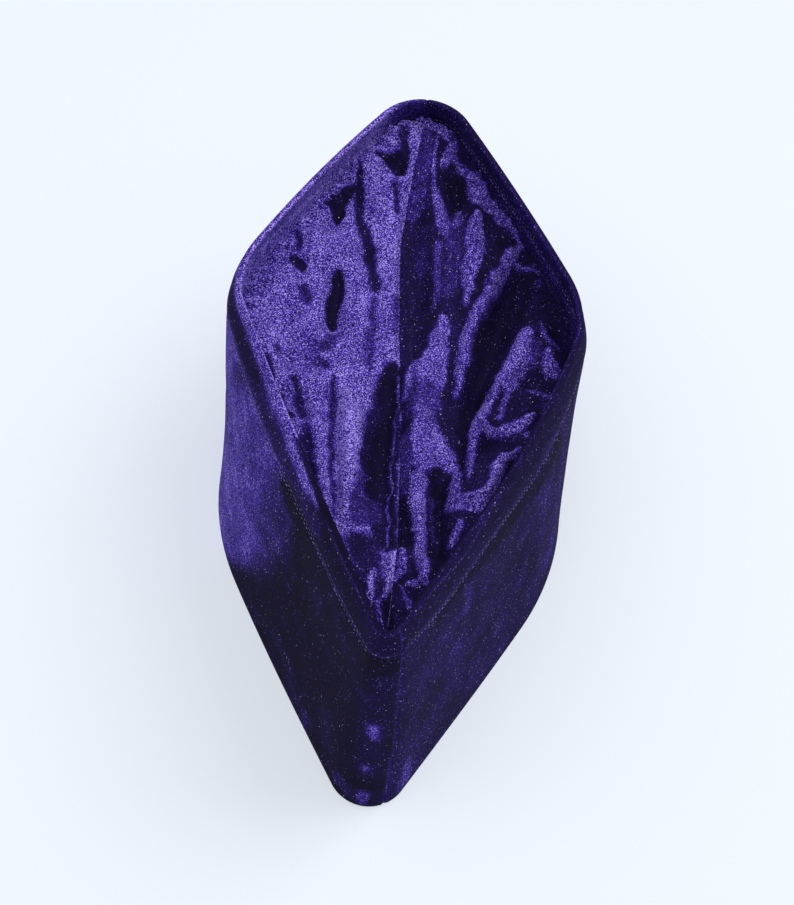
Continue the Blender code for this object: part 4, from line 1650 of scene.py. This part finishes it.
LEFT_CROWN_NAP_AND_LIGHT: tuple[NapAndLight, ...] = (
    NapAndLight(0.16, 0, 3, ((-8, -97, 9), (-4, -114, 9))),
    NapAndLight(0.04, -2.6, 0.7, ((-16.5, 94, 0.7), (-12.5, 93, 2), (-8.5, 93.5, 3.5), (-6.5, 87.5, 1))),
    NapAndLight(0.20, -1, 0.9, ((-7.5, 102, 1.6), (-6, 96.5, 1.5))),
    NapAndLight(0.05, -2.6, 0.7, (
        (-33.5, 69.5, 0.6), (-29.5, 72, 2.6), (-25.5, 78.5, 1.6), (-23.5, 80.5, 0.6),
    )),
    NapAndLight(0.05, -1.4, 0.7, ((-29, 71, 2.4), (-28.5, 66, 0.8))),
    NapAndLight(0.12, -1.6, 0.7, ((-43.5, 47, 1), (-40.5, 45, 1.8), (-39, 43.5, 1.6))),
    NapAndLight(0.30, -0.8, 0.9, ((-43, 57.5, 0.8), (-41.5, 52.5, 1.2), (-41, 50.5, 0.8))),
    NapAndLight(0.14, -1.8, 0.9, (
        (-22, 86.5, 0.8), (-22, 80, 1.4), (-21.5, 74, 1.6), (-20.5, 67.5, 1.4), (-18, 62, 1.4),
        (-16, 56.5, 1.6),
    )),
    NapAndLight(0.20, -1.8, 1.1, ((-16, 56.5, 1.6), (-14.5, 49, 1.9), (-12.5, 40, 1.7))),
    NapAndLight(0.46, -1, 1.4, ((-12.5, 35, 1.4), (-12.5, 25.5, 1.4), (-12.5, 14, 1.5), (-12.5, 4.5, 1))),
    NapAndLight(0.66, -0.3, 2, ((-17, 74, 2), (-14, 69, 1.6))),
    NapAndLight(0.30, -0.8, 0.9, ((-8.5, 83, 1), (-7, 71.5, 1))),
    NapAndLight(0.03, -3.2, 0.6, ((-26, 44, 1.7), (-26, 38, 2.4), (-27, 31.5, 2.4), (-27, 23.5, 1.9))),
    NapAndLight(0.36, -0.6, 1.4, ((-25, 17, 1.5), (-28, 10.5, 2.3), (-30.5, 8.5, 1.5))),
    NapAndLight(0.38, -0.4, 1.6, ((-27, 2.5, 1.9), (-31, 3.5, 2.2))),
    NapAndLight(0.54, -0.3, 1.4, ((-5, 35, 1.9), (-4.5, 22, 1.5))),
    NapAndLight(0.20, -1.6, 0.9, (
        (-24, -3, 0.8), (-23.5, -11.5, 1.1), (-22.5, -26.5, 1.2), (-21.5, -37, 1.6),
        (-19.5, -49, 1.7), (-18, -63.5, 1.6),
    )),
    NapAndLight(0.20, -1, 1.2, (
        (-3.5, 4, 2.6), (-5, -1.5, 4.3), (-5.5, -10.5, 5.1), (-5.5, -24, 5.8), (-6.5, -35.5, 6.8),
        (-6, -44.5, 5.7), (-4, -53, 5), (-2.5, -64.5, 4.2), (-2, -73.5, 3.5),
    )),
    NapAndLight(0.06, -3, 1.2, (
        (-3, 5, 1.5), (-4.5, 1, 2.8), (-4.5, -6, 3.1), (-4, -15, 3.3), (-4, -24, 4),
        (-4.5, -32.5, 5), (-5, -39.5, 5), (-4, -50, 4.4), (-3, -62, 3.6), (-2.5, -72, 3),
    )),
    NapAndLight(0.97, 2.6, 1, (
        (-19, -9.5, 3.7), (-17, -23.5, 4.8), (-17, -36.5, 4), (-17, -49.5, 2.9), (-16, -64.5, 2.3),
    )),
    NapAndLight(0.46, 0.6, 1.4, ((-10.5, -56.5, 3.5), (-11, -64.5, 3.2))),
    NapAndLight(0.50, 0.8, 0.9, ((-10.5, -44, 1.3), (-12, -53.5, 1.4))),
    NapAndLight(0.22, -0.8, 2, ((-9, -76, 5.6), (-6.5, -85.5, 4.2))),
    NapAndLight(0.14, -1, 1, ((-11, -94.5, 2.1), (-9, -103.5, 1.4))),
    NapAndLight(0.24, -1, 0.9, ((-36.5, -6.5, 0.9), (-35, -13.5, 1.7), (-33, -20.5, 1.2))),
    NapAndLight(0.08, -1.2, 0.7, ((-37, -21.5, 1.5), (-37.5, -28, 0.7))),
    NapAndLight(0.30, -0.8, 0.8, ((-41, -14.5, 1), (-41, -17.5, 1.3))),
    NapAndLight(0.36, -0.8, 1, ((-31.5, -25.5, 1.2), (-30.5, -32, 1.8))),
    NapAndLight(0.06, -1.6, 0.7, ((-31.5, -37.5, 1.6), (-29.5, -35, 1.7))),
    NapAndLight(0.16, -1.2, 0.8, ((-29, -46, 1.6), (-27, -52, 1.3))),
    NapAndLight(0.26, -1, 0.9, ((-27.5, -60, 1.4), (-24, -65.5, 1.3))),
    NapAndLight(0.16, -1.2, 0.8, ((-47.5, 3, 1), (-46.5, -2.5, 1.3), (-44.5, -8.5, 0.9))),
    NapAndLight(0.34, -0.6, 1, ((-45, 8.5, 1.1), (-44, 6.5, 1.1))),
    NapAndLight(0.30, -0.6, 1.2, ((-38, 34.5, 1.5), (-36, 30, 1.7))),
    NapAndLight(0.76, 0.2, 2.4, ((-37.5, 15, 3.4), (-32.5, 7, 3.4))),
    NapAndLight(0.92, 1.6, 0.6, ((2, -78, 1.9), (1, -84, 1.6), (0, -92.5, 1), (-1.5, -98.5, 0.8))),
    NapAndLight(0.60, 0.6, 0.8, ((-2.5, -99.5, 1.2), (-2.5, -103.5, 0.8), (-3, -107, 0.5))),
    NapAndLight(0.70, 0.6, 0.5, ((-2, -100.5, 0.3), (-1, -110, 0.3))),
    NapAndLight(0.86, 1.2, 0.7, (
        (-5, -87, 0.9), (-5.5, -94.5, 1.1), (-6, -101.5, 1.3), (-6.5, -104.5, 1), (-5, -106.5, 0.5),
    )),
    NapAndLight(0.80, 0.8, 0.6, ((1.5, -109.5, 0.6), (3, -111.5, 0.9), (4.5, -109.5, 0.5))),
    NapAndLight(0.05, -1.4, 0.8, ((1.5, -96.5, 1.4), (1.5, -102, 1.7))),
    NapAndLight(0.72, 0.5, 0.5, ((-1.5, 2, 0.4), (-1.5, -20, 0.4), (-1.5, -60, 0.4), (-2.5, -82, 0.5))),
    NapAndLight(0.24, -0.8, 1.2, ((-31.5, -32, 1.8), (-29, -40, 2.2), (-26.5, -51, 1.8), (-23, -61, 1.4))),
    NapAndLight(0.80, 1.2, 0.8, ((-26, -43, 1.1), (-23, -52.5, 1.3), (-20.5, -61, 1.1))),
    NapAndLight(0.14, -0.6, 1.2, (
        (-18, -74, 1.8), (-14.5, -84, 1.7), (-10.5, -92.5, 1.7), (-7.5, -100.5, 1.4),
        (-5.5, -105.5, 1),
    )),
    NapAndLight(0.42, 0.4, 1.6, ((-7, -52, 2.1), (-5, -57, 2.1), (-6.5, -63.5, 2.1))),
)
# On the walls a path is a line of (along, down from the rim, half width), in mm.
LEFT_BAND_NAP_AND_LIGHT: tuple[NapAndLight, ...] = (
    NapAndLight(0.42, 0, 6, (
        (-17, 14, 40), (-25, 25, 40), (-31, 32, 40), (-28, 42, 40), (-24, 52, 40), (-14, 62, 40),
        (-2, 70, 40), (8, 78, 40), (18, 88, 40), (32, 110, 40),
    )),
    NapAndLight(0.68, 0, 5, (
        (14, 12, 60), (8, 24, 60), (10, 38, 60), (14, 50, 60), (8, 56, 60), (16, 62, 60),
        (25, 68, 60), (38, 74, 60), (50, 82, 60), (50, 110, 60),
    )),
    NapAndLight(0.66, 0, 6, ((84, -2, 44), (84, 110, 44))),
    NapAndLight(0.52, 0, 5, ((-20, 14, 5), (-8, 22, 5))),
    NapAndLight(0.50, 0, 9, ((128, -2, 6), (128, 110, 6))),
    NapAndLight(0.36, 0, 2, ((-101, 96, 3), (-99, 103, 2.4))),
    NapAndLight(0.34, 0, 2, ((-121, 98, 2.6),)),
)
LEFT_HEM_NAP_AND_LIGHT: tuple[NapAndLight, ...] = (
    NapAndLight(0.12, 0, 2, ((-126, 4, 6), (-92, 5, 6), (-82, 6, 3))),
    NapAndLight(0.33, 0, 2, (
        (-82, 8, 4.2), (-60, 7.5, 4), (-40, 7, 3.6), (-20, 6.2, 3.4), (10, 5.5, 3.4),
        (22, 5.5, 3.2),
    )),
    NapAndLight(0.20, 0, 2, ((-24, 5.2, 2.8), (4, 5.0, 2.8), (16, 5, 2.4))),
    # Painted shadow: a near black band under the stitching.
    NapAndLight(0.02, 0, 2.5, ((-92, 20, 4.5), (-76, 18, 4.5), (-62, 16, 3.6))),
    # Painted highlight: a bright line along the rim's fold.
    NapAndLight(0.78, 0, 1.0, (
        (-79, 1.6, 0.8), (-72, 2.4, 2.4), (-58, 2.2, 2.4), (-48, 0.6, 1.8), (-20, 0.2, 1.4),
        (10, 0, 1.4), (30, -0.4, 1.8), (120, -0.4, 1.8),
    )),
    NapAndLight(0.55, 0, 0.4, ((-124, 0.6, 0.2), (-112, 0.2, 0.25), (-100, 0.8, 0.35), (-84, 0.2, 0.3))),
    NapAndLight(0.36, 0, 0.8, ((-125, 9.6, 0.8), (-112, 12.4, 1.1), (-98, 14.2, 1.1), (-84, 14.3, 0.8))),
)
RIGHT_BAND_NAP_AND_LIGHT: tuple[NapAndLight, ...] = (
    NapAndLight(0.36, 0, 5, ((-100, 34, 5), (-96, 56, 7))),
    NapAndLight(0.36, 0, 5, ((-40, 32, 6), (-34, 45, 6))),
    NapAndLight(0.46, 0, 6, ((-16, 36, 4), (-22, 60, 5), (-30, 85, 4))),
    NapAndLight(0.07, 0, 2.5, (
        (-104, 19, 1.5), (-88, 18.5, 1.2), (-76, 20, 3), (-60, 21, 4), (-40, 22, 4), (-26, 21, 3),
    )),
    NapAndLight(0.46, 0, 2, ((-91, 20, 1.4), (-88, 28, 1.8), (-89, 36, 1.4))),
    NapAndLight(0.58, 0, 2, ((-117, 90, 2.2), (-118, 102, 3))),
    NapAndLight(0.42, 0, 1, ((-55, 89, 0.9), (-56, 91, 0.7))),
)
RIGHT_HEM_NAP_AND_LIGHT: tuple[NapAndLight, ...] = (
    NapAndLight(0.17, 0, 2.5, ((-124, 5, 5.5), (-60, 5, 6), (0, 5, 6), (60, 5, 6), (124, 5, 5.5))),
    NapAndLight(0.48, 0, 0.4, (
        (-120, 0.2, 0.2), (-112, 0.4, 0.3), (-104, 0.6, 0.4), (-96, 3.2, 0.3), (-88, 4.0, 0.35),
        (-80, 1.4, 0.3), (-66, 0.2, 0.2),
    )),
    NapAndLight(0.40, 0, 0.6, ((-57, 0, 0.5), (-52, 0, 0.5))),
    NapAndLight(0.40, 0, 0.8, (
        (-125, 9.3, 0.8), (-120, 11.2, 0.9), (-112, 14, 1.1), (-98, 15.2, 1.1), (-84, 13.6, 0.9),
        (-68, 14.2, 0.8), (-52, 15.6, 0.8), (-36, 15.4, 0.7),
    )),
)
LEFT_INNER_NAP_AND_LIGHT: tuple[NapAndLight, ...] = (
    NapAndLight(0.42, 0, 6, ((110, 0, 8), (110, 16, 8))),
    NapAndLight(0.10, 0, 2, ((-126, 6, 14), (-64, 6, 12), (-54, 6, 5))),
    NapAndLight(0.24, 0, 0.8, ((-14, 2.8, 1.0), (-4, 2.6, 1.0))),
)
RIGHT_INNER_NAP_AND_LIGHT: tuple[NapAndLight, ...] = (
    NapAndLight(0.20, 0, 6, ((114, 0, 8), (112, 16, 8))),
    NapAndLight(0.12, 0, 3, ((-126, 6, 12), (-40, 6, 10))),
    NapAndLight(0.50, 0, 2, ((60, 12, 0.8), (40, 13, 0.8), (10, 14, 0.8))),
)
# At the front tip a path is a line of (across, down from the rim, half width), in mm.
TIP_NAP_AND_LIGHT: tuple[NapAndLight, ...] = (
    NapAndLight(0.19, 0, 3, ((-4, 4, 4), (4, 4, 4))),
    NapAndLight(0.20, 0, 5, ((1, 26, 6), (0, 80, 6))),
    NapAndLight(0.20, 0, 3, ((11, 18, 3.5), (12, 50, 3.5), (13, 72, 3.5))),
    NapAndLight(0.74, 0, 1.6, ((-0.5, 51.5, 2.2), (0, 58.5, 1.6))),
    NapAndLight(0.60, 0, 1.4, ((-1.2, 78.5, 2.0),)),
    NapAndLight(0.58, 0, 1.4, ((-1.5, 97.5, 2.6), (-1, 102.5, 1.8))),
    NapAndLight(0.36, 0, 1.2, ((-9, 94.5, 1.6), (-7, 101.5, 1.2))),
    NapAndLight(0.28, 0, 2.0, ((-8, 34.5, 2.8), (-3, 34.5, 2.4))),
    NapAndLight(0.50, 0, 0.4, ((-5, 0.2, 0.25), (5, 0.2, 0.25))),
)
# The stitching: a line of (along, down from the rim), in mm.
LEFT_STITCH_LINE: tuple[tuple[float, float], ...] = (
    (-126, 9.5), (-122, 11.0), (-112, 12.4), (-98, 14.2), (-80, 14.4), (-40, 13.6), (0, 12.6),
    (60, 11.6), (126, 10.0),
)
RIGHT_STITCH_LINE: tuple[tuple[float, float], ...] = (
    (-126, 9.2), (-120, 11.2), (-112, 14.0), (-98, 15.2), (-84, 13.6), (-68, 14.2), (-52, 15.6),
    (-36, 15.4), (-18, 13.8), (0, 13.0), (60, 11.6), (126, 10.0),
)


class KufiCap:
    """The whole cap: two walls, two crown panels and their topstitching."""

    def __init__(self) -> None:
        """Chooses the tones, strokes and stitch line of each piece."""
        self.pattern = Pattern()
        # Each piece's base tone is the nap's lie together with painted light and shade: the left
        # crown panel and the left wall's inner face are painted bright and the right ones dark, as
        # if lit from the right.
        self.bands = {
            Side.LEFT: SideBand(
                self.pattern,
                Side.LEFT,
                LEFT_DENTS,
                outer_tone=0.08,
                inner_tone=0.97,
                strokes=LEFT_BAND_NAP_AND_LIGHT,
                hem_strokes=LEFT_HEM_NAP_AND_LIGHT,
                inner_strokes=LEFT_INNER_NAP_AND_LIGHT,
                tip_strokes=TIP_NAP_AND_LIGHT,
                stitch_line=LEFT_STITCH_LINE,
            ),
            Side.RIGHT: SideBand(
                self.pattern,
                Side.RIGHT,
                RIGHT_DENTS,
                outer_tone=0.27,
                inner_tone=0.37,
                strokes=RIGHT_BAND_NAP_AND_LIGHT,
                hem_strokes=RIGHT_HEM_NAP_AND_LIGHT,
                inner_strokes=RIGHT_INNER_NAP_AND_LIGHT,
                tip_strokes=TIP_NAP_AND_LIGHT,
                stitch_line=RIGHT_STITCH_LINE,
            ),
        }
        self.crowns = {
            Side.LEFT: CrownPanel(
                self.pattern, Side.LEFT, FOLDS, tone=0.82, strokes=LEFT_CROWN_NAP_AND_LIGHT
            ),
            Side.RIGHT: CrownPanel(
                self.pattern, Side.RIGHT, FOLDS, tone=0.13, strokes=RIGHT_CROWN_NAP_AND_LIGHT
            ),
        }

    def fit(
        self,
        part: SideBand | CrownPanel,
    ) -> bpy.types.Object:
        """Makes one piece of cloth, and hides the solid that it stands for.

        Args:
            part: The wall or panel.

        Returns:
            The piece.
        """
        piece = part.build().placed(GlitterVelvet(part.name).made())
        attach(piece, "root")
        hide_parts(part.node)
        LOG.info("%s: %d faces", piece.name, len(piece.data.polygons))
        return piece

    def build(self) -> None:
        """Makes every piece of the cap."""
        for side in Side:
            thread = Thread(f"thread_{side.value}").made()
            stitches = Topstitch(self.bands[side]).build().placed(thread)
            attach(stitches, "root")
            LOG.info("%s: %d faces", stitches.name, len(stitches.data.polygons))
            self.fit(self.bands[side])
            self.fit(self.crowns[side])


def plain(lists: object) -> object:
    """Turns vectors, and what holds them, into plain lists.

    Args:
        lists: A vector, a tuple or list of such things, or a number.

    Returns:
        The same with plain lists.
    """
    if isinstance(lists, (Vector, tuple, list)):
        return [plain(item) for item in lists]
    return lists


def main() -> None:
    """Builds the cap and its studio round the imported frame."""
    logging.basicConfig(level=logging.INFO, format="%(message)s")
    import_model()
    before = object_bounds()
    KufiCap().build()
    studio = Studio()
    studio.table()
    studio.light()
    studio.camera()
    bpy.context.scene.view_settings.view_transform = "Standard"
    {"frame": plain(before), "visual": plain(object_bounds())}


if __name__ == "__main__":
    main()
